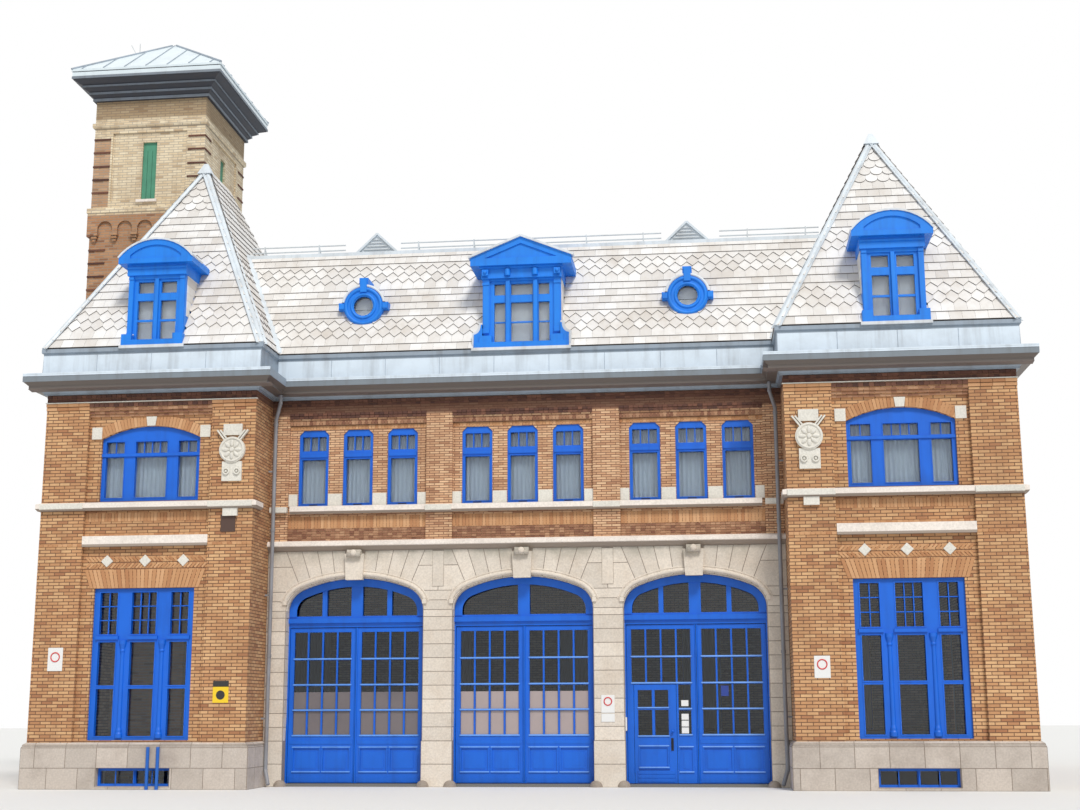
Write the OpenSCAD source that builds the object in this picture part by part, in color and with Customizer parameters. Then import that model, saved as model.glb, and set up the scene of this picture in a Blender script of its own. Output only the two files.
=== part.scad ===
// Fire station building: three arched engine bays between two corner pavilions, with a hose tower.
// The frame is in millimetres: X runs right along the front, Y runs into the building, Z is up.
// The origin is on the ground, in the plane of the arcade, halfway along the front.

/* [Plan] */
// Distance between the centres of two engine bays
bay_pitch = 3920; // [3800:10:4000]
// Clear width of an engine bay between its piers
bay_w = 3240; // [3100:10:3300]
// Distance from the middle of the front to the inner face of a pavilion
centre_half = 6000; // [5950:10:6100]
// Width of a pavilion
pavilion_w = 5040; // [4900:10:5200]
// How far a pavilion stands in front of the arcade
pavilion_out = 1320; // [1200:10:1400]
// Depth of the main block behind the arcade
block_depth = 14000; // [13500:100:14500]
// Thickness of the brick walls
wall_t = 450; // [400:10:500]
// Depth of the stone arcade from front to back
arcade_t = 600; // [560:10:650]

/* [Heights] */
// Top of the ground floor slab
floor_z = 60; // [50:5:80]
// Top of the stone plinth
plinth_z = 1010; // [980:10:1040]
// Height at which the bay arches leave their jambs
spring_z = 3960; // [3900:10:4000]
// Top of the bay arches at their crown
crown_z = 4720; // [4700:10:4760]
// Underside of the stone string course
string_z = 5350; // [5320:10:5380]
// Top of the stone string course
storey_z = 5580; // [5560:10:5600]
// Top of the upper sill course
sill_z = 6410; // [6380:10:6440]
// Underside of the main cornice
cornice_z = 8950; // [8900:10:9000]
// Top of the attic fascia, where the slate roofs start
eave_z = 10040; // [10000:10:10100]
// Top of the mansard, where the flat deck starts
deck_z = 13030; // [12900:10:13100]
// Ridge of the pavilion roofs
ridge_z = 15500; // [15300:50:15700]

/* [Bay doors] */
// Distance from the arcade's front to the front of the door leaves
door_y = 300; // [280:5:320]
// Thickness of a bay door leaf
leaf_t = 70; // [60:5:75]
// Top of the bay door leaves
leaf_top = 3580; // [3560:5:3585]
// Width of the wicket door in the right-hand bay
wicket_w = 948; // [930:2:950]
// Top of the wicket door
wicket_top = 2244; // [2230:2:2250]

/* [Tower] */
// Left side of the tower shaft, measured from the middle of the front
tower_x = -11800; // [-11850:10:-11750]
// Front of the tower shaft
tower_y = 2200; // [2150:10:2300]
// Width of the tower shaft
tower_w = 3050; // [3000:10:3100]
// Depth of the tower shaft
tower_d = 3300; // [3200:10:3400]
// Top of the tower's brickwork
tower_top = 17760; // [17600:20:17900]
// Top of the tower's eaves
tower_eave = 18460; // [18400:20:18600]
// Top of the tower's roof
tower_peak = 19990; // [19800:10:20100]

/* [Hidden] */
$fn = 64;
outer_x = centre_half + pavilion_w;
inner_x = outer_x - wall_t;
return_x = centre_half + wall_t;
front_y = -pavilion_out;
room_y = front_y + wall_t;
rear_y = block_depth - wall_t;
pavilion_x = centre_half + pavilion_w / 2;
bay_half = bay_w / 2;
pier_w = bay_pitch - bay_w;
bays = [-bay_pitch, 0, bay_pitch];
sides = [-1, 1];

// Roof: how far each slope runs in before it reaches the deck or the ridge
roof_out = 110;
mansard_run = 1630;
pavilion_front_run = 3200;
pavilion_rear_y = 6000;
pavilion_run = pavilion_w / 2 + roof_out;
ridge_half = 70;
roof_t = 200;
deck_t = 130;
shell_z = deck_z - deck_t;

// Bay arch: a flat middle arc and two tight haunches that meet it
arch_r = 3300;
haunch_r = 560;
arch_z = crown_z - arch_r;
haunch_x = bay_half - haunch_r;
haunch_z = arch_z + sqrt(pow(arch_r - haunch_r, 2) - pow(haunch_x, 2));
arch_a = atan2(haunch_x, haunch_z - arch_z);

// Bay door leaves and what holds them
post_w = 40;
gap = 8;
leaf_gap = 10;
leaf_foot = floor_z + 12;
leaf_w = bay_half - post_w - gap - leaf_gap / 2;
wicket_x = -1419;
transom_z = leaf_top + 12;
fan_z = 3840;

// Windows
big_w = 2360;
big_sill = 1060;
big_head = 4440;
arch_window_spring = 7900;
arch_window_crown = 8190;
slim_w = 716;
slim_pitch = 1070;
slim_head = 8230;
glass_t = 12;
side_windows = [7600, 9600, 11600];
right_windows = [1800, 3800, 5700, 7600, 9600, 11600];

// Box from its low and high corners
module block(a, b) {
    translate(a) cube(b - a);
}

// A section drawn in X and Z, run along Y
module along_y(y0, y1) {
    translate([0, y1, 0]) rotate([90, 0, 0]) linear_extrude(y1 - y0) children();
}

// A section drawn in Y and Z, run along X
module along_x(x0, x1) {
    translate([x0, 0, 0]) rotate([90, 0, 90]) linear_extrude(x1 - x0) children();
}

// Copies a right-hand piece to the left, mirrored about the middle of the front
module both_sides() {
    children();
    mirror([1, 0, 0]) children();
}

// Rectangular block whose four sides carry a moulding, given as [distance out, height] pairs
module moulded(x0, x1, y0, y1, p) {
    out = [for (q = p) [x1 + q[0], q[1]]];
    back = [for (i = [len(p) - 1:-1:0]) [x0 - p[i][0], p[i][1]]];
    out_y = [for (q = p) [y1 + q[0], q[1]]];
    back_y = [for (i = [len(p) - 1:-1:0]) [y0 - p[i][0], p[i][1]]];
    far = 1000;
    intersection() {
        along_y(y0 - far, y1 + far) polygon(concat(out, back));
        along_x(x0 - far, x1 + far) polygon(concat(out_y, back_y));
    }
}

// Outline of a bay arch in X and Z, grown by m, with its feet at z0
module arch_shape(m, z0) {
    half = bay_half + m;
    top = crown_z + m;
    tx = (arch_r + m) * sin(arch_a);
    tz = arch_z + (arch_r + m) * cos(arch_a);
    intersection() {
        translate([-half, z0]) square([2 * half, top - z0 + 1]);
        union() {
            for (s = sides) translate([s * haunch_x, haunch_z]) circle(haunch_r + m);
            intersection() {
                translate([0, arch_z]) circle(arch_r + m, $fn = 240);
                polygon([[-tx, tz - 1], [tx, tz - 1], [tx, top + 1], [-tx, top + 1]]);
            }
            polygon([[-half, z0], [half, z0], [half, haunch_z], [haunch_x, haunch_z + 1], [tx, tz], [-tx, tz],
                     [-haunch_x, haunch_z + 1], [-half, haunch_z]]);
        }
    }
}

// The tower shaft as a solid block, grown by m, used to cut what it passes through
module tower_block(m = 0) {
    block([tower_x - m, tower_y - m, -1], [tower_x + tower_w + m, tower_y + tower_d + m, tower_top]);
}

// How far the piers' pedestals stand out, and half the width of the thresholds between them
pedestal = 30;
threshold_half = bay_half - pedestal / 2 - 1;

// Ground floor slab, with thresholds between the piers that leave room for the guard stones
module ground_floor() {
    color("#9a9791") difference() {
        union() {
            block([-inner_x, arcade_t, 0], [inner_x, rear_y, floor_z]);
            both_sides() block([return_x, room_y, 0], [inner_x, arcade_t, floor_z]);
            for (x = bays) block([x - threshold_half, 0, 0], [x + threshold_half, arcade_t, floor_z]);
        }
        guard_stones(2);
        tower_block();
    }
}

// Raised floors of the two pavilions
raised_floor = [600, 780];
module pavilion_floors() {
    color("#9a9791") difference() {
        both_sides() block([return_x, room_y, raised_floor[0]],
                           [inner_x, pavilion_rear_y - 200, raised_floor[1]]);
        tower_block();
    }
}

// A floor of the main block, in straight slabs with open joints between them, from low to high z
slab_joint = 5;
module floor_slabs(z) {
    tower_right = tower_x + tower_w;
    tower_back = tower_y + tower_d;
    block([-inner_x, tower_back, z[0]], [inner_x, rear_y, z[1]]);
    block([tower_right, arcade_t, z[0]], [inner_x, tower_back - slab_joint, z[1]]);
    block([-inner_x, arcade_t, z[0]], [tower_right - slab_joint, tower_y, z[1]]);
    block([-centre_half, wall_t, z[0]], [centre_half, arcade_t - slab_joint, z[1]]);
    both_sides() block([return_x, room_y, z[0]], [inner_x, arcade_t - slab_joint, z[1]]);
}

module upper_floor() {
    color("#8b7355") floor_slabs([5750, 6050]);
}

// Attic floor, level with the main cornice
module attic_floor() {
    color("#8b7355") floor_slabs([9050, 9300]);
}

// Stone plinths of the pavilion fronts and of their returns beside the arcade
plinth_out = 90;
plinth_mould = [[0, 0], [plinth_out, 0], [plinth_out, 900], [70, 930], [70, 960], [0, plinth_z]];
basement_half = 850;
basement_top = 460;
module pavilion_plinths() {
    color("#d8cdbf") both_sides() {
        difference() {
            moulded(centre_half, outer_x, front_y, room_y, plinth_mould);
            block([0, room_y, -1], [outer_x + 200, room_y + 200, plinth_z + 1]);
            block([pavilion_x - basement_half, front_y - 100, floor_z],
                  [pavilion_x + basement_half, room_y + 1, basement_top]);
        }
        difference() {
            moulded(centre_half, return_x, room_y - 200, arcade_t, plinth_mould);
            block([0, room_y - 500, -1], [outer_x, room_y + slab_joint, plinth_z + 1]);
            block([0, arcade_t, -1], [outer_x, arcade_t + 200, plinth_z + 1]);
            block([return_x, room_y - 1, -1], [outer_x, arcade_t + 1, plinth_z + 1]);
            block([0, 0, -1], [centre_half, arcade_t + 1, plinth_z + 1]);
        }
    }
}

// Stone plinths of the side walls, the tower and the rear, in straight runs with open joints between them
module rear_plinths() {
    joint = 4;
    out = 91;
    color("#d8cdbf") difference() {
        union() {
            moulded(-outer_x, outer_x, room_y, block_depth, plinth_mould);
            moulded(tower_x, tower_x + tower_w, tower_y, tower_y + tower_d, plinth_mould);
        }
        block([-inner_x, room_y - 500, -1], [inner_x, rear_y, plinth_z + 1]);
        block([-outer_x - 500, room_y - 500, -1], [outer_x + 500, room_y, plinth_z + 1]);
        tower_block();
        block([-outer_x - out, rear_y - joint, -1], [outer_x + out, rear_y, plinth_z + 1]);
        block([-outer_x - out - joint, tower_y - out, -1],
              [-outer_x - out + 1, tower_y + tower_d + out, plinth_z + 1]);
        for (y = [tower_y - out, tower_y + tower_d])
            block([tower_x, y, -1], [tower_x + joint, y + out, plinth_z + 1]);
    }
}

// Opening of a slim upper window, with the corners of its head cut off
module slim_shape(x, m = 0) {
    w = slim_w / 2 + m;
    polygon([[x - w, sill_z - m], [x + w, sill_z - m], [x + w, slim_head - 110], [x + w - 110, slim_head + m],
             [x - w + 110, slim_head + m], [x - w, slim_head - 110]]);
}

// Head of the arched upper window: a segment through the springs and the crown
module segment_shape(x, w, z0, spring, crown) {
    rise = crown - spring;
    r = (w * w / 4 + rise * rise) / (2 * rise);
    intersection() {
        translate([x - w / 2, z0]) square([w, crown - z0 + 1]);
        union() {
            translate([x, crown - r]) circle(r, $fn = 180);
            translate([x - w / 2, z0]) square([w, spring - z0]);
        }
    }
}

// Width of a pavilion's corner pilasters
pilaster_w = 1040;

// Brick front of the right-hand pavilion: two corner pilasters and a sunken field with two windows
module pavilion_front() {
    field_top = 8420;
    step_h = 70;
    steps = [100, 66, 33];
    difference() {
        block([centre_half, front_y, plinth_z], [outer_x, room_y, eave_z]);
        for (i = [0:2])
            block([centre_half + pilaster_w, front_y - 1, plinth_z],
                  [outer_x - pilaster_w, front_y + steps[i], field_top + i * step_h]);
        along_y(front_y - 1, room_y + 1) {
            translate([pavilion_x - big_w / 2, big_sill]) square([big_w, big_head - big_sill]);
            segment_shape(pavilion_x, big_w, sill_z + 30, arch_window_spring, arch_window_crown);
        }
    }
}

module left_pavilion_wall() {
    color("#b98458") mirror([1, 0, 0]) pavilion_front();
}

module right_pavilion_wall() {
    color("#b98458") pavilion_front();
}

// Brick returns that join the pavilion fronts to the arcade
module return_walls() {
    color("#b98458") both_sides() block([centre_half, room_y, plinth_z], [return_x, arcade_t, eave_z]);
}

// Window openings of a side wall: tall ground floor windows with slim ones over them
module side_openings(list) {
    for (y = list) {
        block([outer_x - wall_t - 1, y - 600, big_sill], [outer_x + 1, y + 600, big_head - 200]);
        along_x(outer_x - wall_t - 1, outer_x + 1) slim_shape(y);
    }
}

module right_side_wall() {
    color("#b98458") difference() {
        block([inner_x, room_y, plinth_z], [outer_x, rear_y, eave_z]);
        side_openings(right_windows);
    }
}

module left_side_wall() {
    color("#b98458") difference() {
        block([-outer_x, room_y, plinth_z], [-inner_x, rear_y, eave_z]);
        mirror([1, 0, 0]) side_openings(side_windows);
        tower_block();
    }
}

// Brick rear wall, with the front's window rows repeated
module rear_wall() {
    color("#b98458") difference() {
        block([-outer_x, rear_y, plinth_z], [outer_x, block_depth, eave_z]);
        along_y(rear_y - 1, block_depth + 1) {
            for (b = bays, i = [-1:1]) slim_shape(b + i * slim_pitch);
            for (x = concat([-pavilion_x, pavilion_x], bays))
                translate([x - 600, big_sill]) square([1200, big_head - big_sill - 200]);
            for (s = sides, i = sides) slim_shape(s * pavilion_x + i * slim_pitch / 2);
        }
    }
}

// Brick front over the arcade: four pilasters and three sunken fields of three windows
module upper_front_wall() {
    field_half = bay_half + 30;
    field_top = 8340;
    step_h = 60;
    steps = [80, 53, 26];
    color("#b98458") difference() {
        block([-centre_half, 0, storey_z], [centre_half, wall_t, eave_z]);
        for (b = bays, i = [0:2])
            block([b - field_half, -1, storey_z], [b + field_half, steps[i], field_top + i * step_h]);
        along_y(-1, wall_t + 1) for (b = bays, i = [-1:1]) slim_shape(b + i * slim_pitch);
    }
}

// Limestone piers between the bays, with pedestals and rounded guard stones at their feet
module arcade_piers() {
    end_w = centre_half - bay_pitch - bay_half;
    color("#dccfc0") {
        for (s = sides) {
            x = s * bay_pitch / 2;
            block([x - pier_w / 2, 0, 0], [x + pier_w / 2, arcade_t, spring_z]);
            block([x - pier_w / 2 - pedestal / 2, -pedestal, 0],
                  [x + pier_w / 2 + pedestal / 2, 200, plinth_z]);
        }
        both_sides() {
            block([centre_half - end_w, 0, 0], [centre_half, arcade_t, spring_z]);
            block([centre_half - end_w - pedestal / 2, -pedestal, 0],
                  [centre_half - plinth_out, 200, plinth_z]);
        }
        guard_stones(0);
    }
}

// Rounded guard stones at the feet of the bay jambs, grown by m
module guard_stones(m) {
    r = 150 + m;
    for (b = bays, s = sides)
        translate([b + s * (bay_half + 30), 0, 0]) intersection() {
            sphere(r, $fn = 32);
            translate([-r, -r, 0]) cube(2 * r);
        }
}

// Limestone arches over the bays, with keystones and a raised strip over each pier
strip_half = 125;
strip_t = 20;
module arcade_arches() {
    color("#dccfc0") {
        difference() {
            block([-centre_half, 0, spring_z], [centre_half, arcade_t, string_z]);
            along_y(-1, arcade_t + 1) for (b = bays) translate([b, 0]) arch_shape(0, spring_z - 1);
        }
        for (b = bays) translate([b, 0, 0]) keystone();
        for (s = sides)
            block([s * bay_pitch / 2 - strip_half, -strip_t, 4500],
                  [s * bay_pitch / 2 + strip_half, 1, 5310]);
    }
}

// Roll mouldings round the bay arches, as [distance out from the opening, radius]:
// a full roll with a thin bead outside it, each on a stop and cut off by the keystone
rolls = [[80, 50], [158, 18]];
roll_foot = 4200;
module arch_mouldings() {
    color("#dccfc0") for (b = bays) translate([b, 0, 0]) difference() {
        for (m = [0, 1], q = rolls) mirror([m, 0, 0]) roll_moulding(q[0], q[1]);
        keystone();
    }
}

// Right-hand half of a roll moulding: a tight arc up the haunch, then the flat arc to the crown
module roll_moulding(out, r) {
    foot_a = asin((roll_foot - haunch_z) / (haunch_r + out));
    roll_arc(haunch_x, haunch_z, haunch_r + out, r, foot_a, 90 - arch_a, 48);
    roll_arc(0, arch_z, arch_r + out, r, 90 - arch_a, 90, 120);
    translate([haunch_x + (haunch_r + out) * cos(foot_a), 0, roll_foot])
        block([-r, -r, -2 * r], [r, 0, 0]);
}

// Half-round moulding of radius r on an arc of the arcade's face, from angle a0 to a1 above +X,
// in steps of a full circle's n
module roll_arc(x, z, arc, r, a0, a1, n) {
    far = arc + 300;
    translate([x, 0, z]) intersection() {
        rotate([90, 0, 0]) rotate_extrude($fn = n) translate([arc, 0]) circle(r, $fn = 16);
        along_y(-r - 1, 0) polygon([[0, 0], for (a = [a0, (a0 + a1) / 2, a1]) far * [cos(a), sin(a)]]);
    }
}

// Tapered keystone with a console and its boss under the string course
console_half = 160;
console_out = 180;
console_z = 5240;
module keystone() {
    along_y(-110, 60)
        polygon([[-195, crown_z - 60], [195, crown_z - 60], [230, console_z + 20], [-230, console_z + 20]]);
    block([-console_half, -console_out, console_z], [console_half, 60, string_z]);
    translate([0, -console_out, console_z]) rotate([0, 90, 0])
        translate([0, 0, -console_half]) cylinder(r = 55, h = 2 * console_half);
}

// Stone string course over the arcade
module string_course() {
    color("#dccfc0") along_x(-centre_half, centre_half)
        polygon([[arcade_t, string_z], [0, string_z], [-60, string_z + 30], [-120, string_z + 90],
                 [-150, string_z + 110], [-150, string_z + 190], [-60, storey_z], [arcade_t, storey_z]]);
}

// Stone sills: one band runs under the upper windows, and a ledge crosses each pavilion field
sill_mould = [[-1, 6220], [60, 6220], [100, 6270], [100, 6380], [0, sill_z]];
module sill_course() {
    color("#dccfc0") {
        difference() {
            union() {
                both_sides() moulded(centre_half, outer_x, front_y, room_y, sill_mould);
                moulded(-centre_half, centre_half, 0, wall_t, sill_mould);
            }
            both_sides() block([centre_half, front_y, 6200], [outer_x, wall_t + 200, sill_z + 1]);
            both_sides() block([centre_half - 500, room_y, 6200], [outer_x + 500, 1000, sill_z + 1]);
            block([-centre_half, 0, 6200], [centre_half, wall_t + 200, sill_z + 1]);
        }
        both_sides() block([centre_half + pilaster_w, front_y - 30, 5390],
                           [outer_x - pilaster_w, front_y + 100, 5630]);
    }
}

// White stones set in the brick: skewbacks and keystones of the arched windows, blocks that carry the sill
// band round the pilasters, and blocks between the sills of the slim windows
module window_stones() {
    field_y = front_y + 100;
    sill_stone_top = 6700;
    color("#e4dccf") {
        both_sides() {
            along_y(field_y - 30, field_y) translate([pavilion_x, 0]) {
                for (s = sides) translate([s * 1300 - 120, arch_window_spring]) square([240, 280]);
                polygon([[-95, arch_window_crown + 5], [95, arch_window_crown + 5], [125, 8410], [-125, 8410]]);
            }
            block([centre_half + 350, front_y - 80, 6040], [centre_half + 690, front_y, 6219]);
        }
        for (b = bays) both_sides_of(b) {
            block([slim_pitch / 2 - 165, 45, sill_z + 1], [slim_pitch / 2 + 165, 80, sill_stone_top]);
            block([slim_pitch + slim_w / 2 + 12, 45, sill_z + 1], [bay_half + 28, 80, sill_stone_top]);
        }
    }
}

// Carved stone medallions on the pavilions' inner pilasters
module medallions() {
    color("#e4dccf") both_sides() translate([centre_half + pilaster_w / 2, front_y, 0]) {
        translate([0, 0, 7560]) rotate([90, 0, 0]) cylinder(r = 300, h = 90);
        block([-220, -70, 7900], [220, 0, 8160]);
        block([-230, -60, 6840], [230, 0, 7290]);
    }
}

// The main cornice all round the building, in straight runs with open joints at the outer corners:
// bed mould, gutter, then the attic fascia with its lip
cornice_mould = [[0, cornice_z], [70, cornice_z], [70, 8990], [110, 9030], [330, 9060], [330, 9120],
                 [430, 9210], [430, 9390], [120, 9390], [110, 9920], [150, 9950], [150, eave_z],
                 [0, eave_z]];
gutter_out = 430;
module cornice_ring() {
    difference() {
        union() {
            moulded(-outer_x, outer_x, 0, block_depth, cornice_mould);
            both_sides() moulded(centre_half, outer_x, front_y, block_depth / 2, cornice_mould);
        }
        block([-outer_x, 0, cornice_z - 1], [outer_x, block_depth, eave_z + 1]);
        both_sides() block([centre_half, front_y, cornice_z - 1], [outer_x, 1, eave_z + 1]);
        for (y = [front_y, block_depth - slab_joint])
            block([-outer_x - 500, y, cornice_z - 1], [outer_x + 500, y + slab_joint, eave_z + 1]);
        tower_block();
    }
}

module pavilion_cornices() {
    color("#93a5b5") intersection() {
        cornice_ring();
        both_sides() block([centre_half - gutter_out, front_y - 500, cornice_z - 1],
                           [outer_x + 500, wall_t, eave_z + 1]);
    }
}

module centre_cornice() {
    color("#93a5b5") along_x(gutter_out - centre_half, centre_half - gutter_out)
        polygon([for (q = cornice_mould) [-q[0], q[1]]]);
}

module rear_cornice() {
    color("#93a5b5") intersection() {
        cornice_ring();
        block([-outer_x - 500, wall_t, 8000], [outer_x + 500, block_depth + 500, eave_z + 1]);
    }
}

// Where the slopes of the main roof stand at height z
function front_at(z) = -roof_out + (z - eave_z) * mansard_run / (deck_z - eave_z);
function rear_at(z) = block_depth + roof_out - (z - eave_z) * mansard_run / (deck_z - eave_z);
function side_at(z) = outer_x + roof_out - (z - eave_z) * (pavilion_run - ridge_half) / (ridge_z - eave_z);

// Body of the main roof between two heights, with its slopes moved in by d
module main_roof(d, z0, z1) {
    intersection() {
        along_x(-20000, 20000)
            polygon([[front_at(z0) + d, z0], [rear_at(z0) - d, z0], [rear_at(z1) - d, z1],
                     [front_at(z1) + d, z1]]);
        along_y(-3000, 20000)
            polygon([[-side_at(z0) + d, z0], [side_at(z0) - d, z0], [side_at(z1) - d, z1],
                     [-side_at(z1) + d, z1]]);
    }
}

// Body of a pavilion roof: a steep hipped roof with a short ridge, with its slopes moved in by d
module pavilion_body(d, z0, z1) {
    rise = ridge_z - eave_z;
    t0 = (z0 - eave_z) / rise;
    t1 = (z1 - eave_z) / rise;
    f = front_y - roof_out + d;
    r = pavilion_rear_y - d;
    half = pavilion_run - d;
    run = pavilion_run - ridge_half;
    intersection() {
        along_x(0, 20000)
            polygon([[f + t0 * pavilion_front_run, z0], [r - t0 * run, z0], [r - t1 * run, z1],
                     [f + t1 * pavilion_front_run, z1]]);
        along_y(-5000, 20000) translate([pavilion_x, 0])
            polygon([[-half + t0 * run, z0], [half - t0 * run, z0], [half - t1 * run, z1],
                     [-half + t1 * run, z1]]);
    }
}

// Slate front slope between the pavilions, open behind the dormer and the round windows
module front_mansard() {
    color("#e9e4db") difference() {
        intersection() {
            difference() {
                main_roof(0, eave_z, shell_z);
                main_roof(roof_t, eave_z - 1, shell_z + 1);
            }
            block([-8000, -500, 0], [8000, front_at(deck_z) + roof_t, deck_z]);
        }
        both_sides() pavilion_body(0, eave_z - 1, ridge_z);
        block([-760, -500, 10150], [760, 2000, 11720]);
        round_holes();
    }
}

// Narrow open joint up each rear hip, which keeps the side and rear slopes apart
roof_joint = 5;
module hip_joints() {
    a = [side_at(eave_z), rear_at(eave_z)];
    b = [side_at(shell_z), rear_at(shell_z)];
    low = a + 0.1 * (a - b);
    high = b - 0.4 * (a - b);
    both_sides() translate([0, 0, eave_z - 1]) linear_extrude(deck_z - eave_z)
        polygon([low, high, high + [roof_joint, 0], low + [roof_joint, 0]]);
}

// Slate slopes of the sides and the rear
module rear_mansards() {
    color("#e9e4db") difference() {
        main_roof(0, eave_z, shell_z);
        main_roof(roof_t, eave_z - 1, shell_z + 1);
        both_sides() pavilion_body(-roof_joint, eave_z - 1, ridge_z);
        block([-8000, -500, 0], [8000, front_at(deck_z) + roof_t, deck_z]);
        hip_joints();
        tower_block();
    }
}

// Flat deck with a metal edge over the top of the slopes
module roof_deck() {
    lip = 25;
    color("#c9d3da") difference() {
        block([-side_at(shell_z) - lip, front_at(shell_z) - lip, shell_z],
              [side_at(shell_z) + lip, rear_at(shell_z) + lip, deck_z]);
        both_sides() pavilion_body(0, shell_z - 1, ridge_z);
        both_sides() block([pavilion_x, -2000, shell_z - 1], [20000, 4700, deck_z + 1]);
        tower_block();
    }
}

// Hollow slate roof of the right-hand pavilion
module pavilion_roof() {
    difference() {
        pavilion_body(0, eave_z, ridge_z);
        pavilion_body(roof_t, eave_z - 1, ridge_z - 380);
        main_roof(roof_t, eave_z - 1, deck_z);
        block([pavilion_x - 560, -3000, 10150], [pavilion_x + 560, 600, 11720]);
    }
}

module right_pavilion_roof() {
    color("#e9e4db") pavilion_roof();
}

module left_pavilion_roof() {
    string = tower_strings[0];
    m = string[2] + 5;
    color("#e9e4db") difference() {
        mirror([1, 0, 0]) pavilion_roof();
        tower_block();
        block([tower_x - m, tower_y - m, corbel_z[0] - 5],
              [tower_x + tower_w + m, tower_y + tower_d + m, string[1] + 5]);
    }
}

// Wooden dormer over the middle bay: a box with a low pediment, pilasters and flared feet
dormer_open = [10150, 11720];
frieze_z = [11770, 12060];
module centre_dormer() {
    half = 935;
    face = -60;
    eaves = face - 200;
    color("#1560d0") difference() {
        union() {
            block([-half, face, eave_z], [half, 1500, frieze_z[1]]);
            block([-half - 30, face - 60, frieze_z[0]], [half + 30, 1500, frieze_z[1]]);
            both_sides() block([780, face - 25, 10420], [half - 15, face + 1, frieze_z[0]]);
            along_y(eaves, 1600)
                polygon([[-1210, 12060], [1210, 12060], [1210, 12260], [0, 12750], [-1210, 12260]]);
            along_y(face, face + 80)
                polygon([[-1130, eave_z], [1130, eave_z], [1100, 10200], [half, 10420], [-half, 10420],
                         [-1100, 10200]]);
        }
        along_y(eaves - 1, eaves + 35) polygon([[-860, 12240], [860, 12240], [0, 12590]]);
        main_roof(-1, eave_z - 1, shell_z);
        block([-half + 110, face + 130, eave_z + 110], [half - 110, 3000, 11940]);
        block([-760, face - 1, dormer_open[0]], [760, 3000, dormer_open[1]]);
    }
}

// Dormers of the pavilions, with curved hoods
module pavilion_dormers() {
    half = 690;
    face = front_y + 20;
    eaves = face - 200;
    color("#1560d0") both_sides() difference() {
        union() {
            block([pavilion_x - half, face, eave_z], [pavilion_x + half, 800, frieze_z[1]]);
            block([pavilion_x - half - 30, face - 60, frieze_z[0] + 30],
                  [pavilion_x + half + 30, 800, frieze_z[1]]);
            both_sides_of(pavilion_x) block([570, face - 25, 10300], [half - 10, face + 1, frieze_z[0] + 30]);
            along_y(eaves, 900) segment_shape(pavilion_x, 1800, 12060, 12200, 12640);
        }
        along_y(eaves - 1, eaves + 35) segment_shape(pavilion_x, 1240, 12180, 12260, 12500);
        pavilion_body(-1, eave_z - 1, ridge_z);
        block([pavilion_x - half + 110, face + 130, eave_z + 110], [pavilion_x + half - 110, 3000, 11940]);
        block([pavilion_x - 560, face - 1, dormer_open[0]], [pavilion_x + 560, 3000, dormer_open[1]]);
    }
}

// A piece and its mirror image about a line at x
module both_sides_of(x) {
    for (m = [0, 1]) translate([x, 0, 0]) mirror([m, 0, 0]) children();
}

// Round openings in the front slope
round_z = 11320;
round_r = 300;
round_rolls = [[290, 32], [430, 42]];
module round_holes() {
    for (s = sides) along_y(0, 2500) translate([s * bay_pitch, round_z]) circle(round_r);
}

// Round windows with a keystone and two ears, standing upright in the slope
module round_windows() {
    face = 300;
    ring_t = 50;
    color("#1560d0") difference() {
        for (s = sides) along_y(face, 1300) translate([s * bay_pitch, round_z]) {
            circle(486);
            translate([-110, 380]) square([220, 330]);
            translate([-610, -90]) square([1220, 180]);
        }
        main_roof(0, eave_z - 1, shell_z);
        for (s = sides) translate([s * bay_pitch, 0, round_z]) {
            along_y(face - 1, face + ring_t) circle(240);
            along_y(face + ring_t, 2000) circle(round_r);
        }
    }
    color("#1560d0") for (s = sides, roll = round_rolls)
        translate([s * bay_pitch, face, round_z]) rotate([90, 0, 0])
            rotate_extrude() translate([roll[0], 0]) circle(roll[1], $fn = 20);
}

// Small gabled vents on the edge of the deck
module roof_vents() {
    color("#c9d3da") for (s = sides) along_y(1700, 2600) translate([s * bay_pitch, deck_z])
        polygon([[-560, 0], [560, 0], [0, 560]]);
}

// Two-rail snow guards on posts along the front edge of the deck
rail_r = 18;
module snow_rails() {
    color("#dfe5ea") for (run = [[-7150, -4720, [-6830, -5410]], [-3290, 3290, [-2840, -1420, 0, 1420, 2840]],
                                 [4720, 7150, [5410, 6830]]]) {
        for (z = [140, 270]) translate([run[0], 1620, deck_z + z]) rotate([0, 90, 0])
            cylinder(r = rail_r, h = run[1] - run[0], $fn = 16);
        for (x = run[2]) block([x - 12, 1595, deck_z], [x + 12, 1645, deck_z + 300]);
    }
}

// The four sides of the tower, as frames in which X runs across the side and Y into it
module tower_sides() {
    cx = tower_x + tower_w / 2;
    cy = tower_y + tower_d / 2;
    translate([cx, cy, 0]) {
        translate([0, -tower_d / 2, 0]) children();
        rotate(180) translate([0, -tower_d / 2, 0]) children();
        rotate(90) translate([0, -tower_w / 2, 0]) children();
        rotate(-90) translate([0, -tower_w / 2, 0]) children();
    }
}

// Brick tower shaft with sunken panels, string courses and a shuttered opening on each side
tower_t = 380;
tower_panel = [14960, 16860];
tower_strings = [[14590, 14780, 80], [17000, 17170, 60]];
slit_w = 390;
slit = [14960, 16590];

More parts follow.
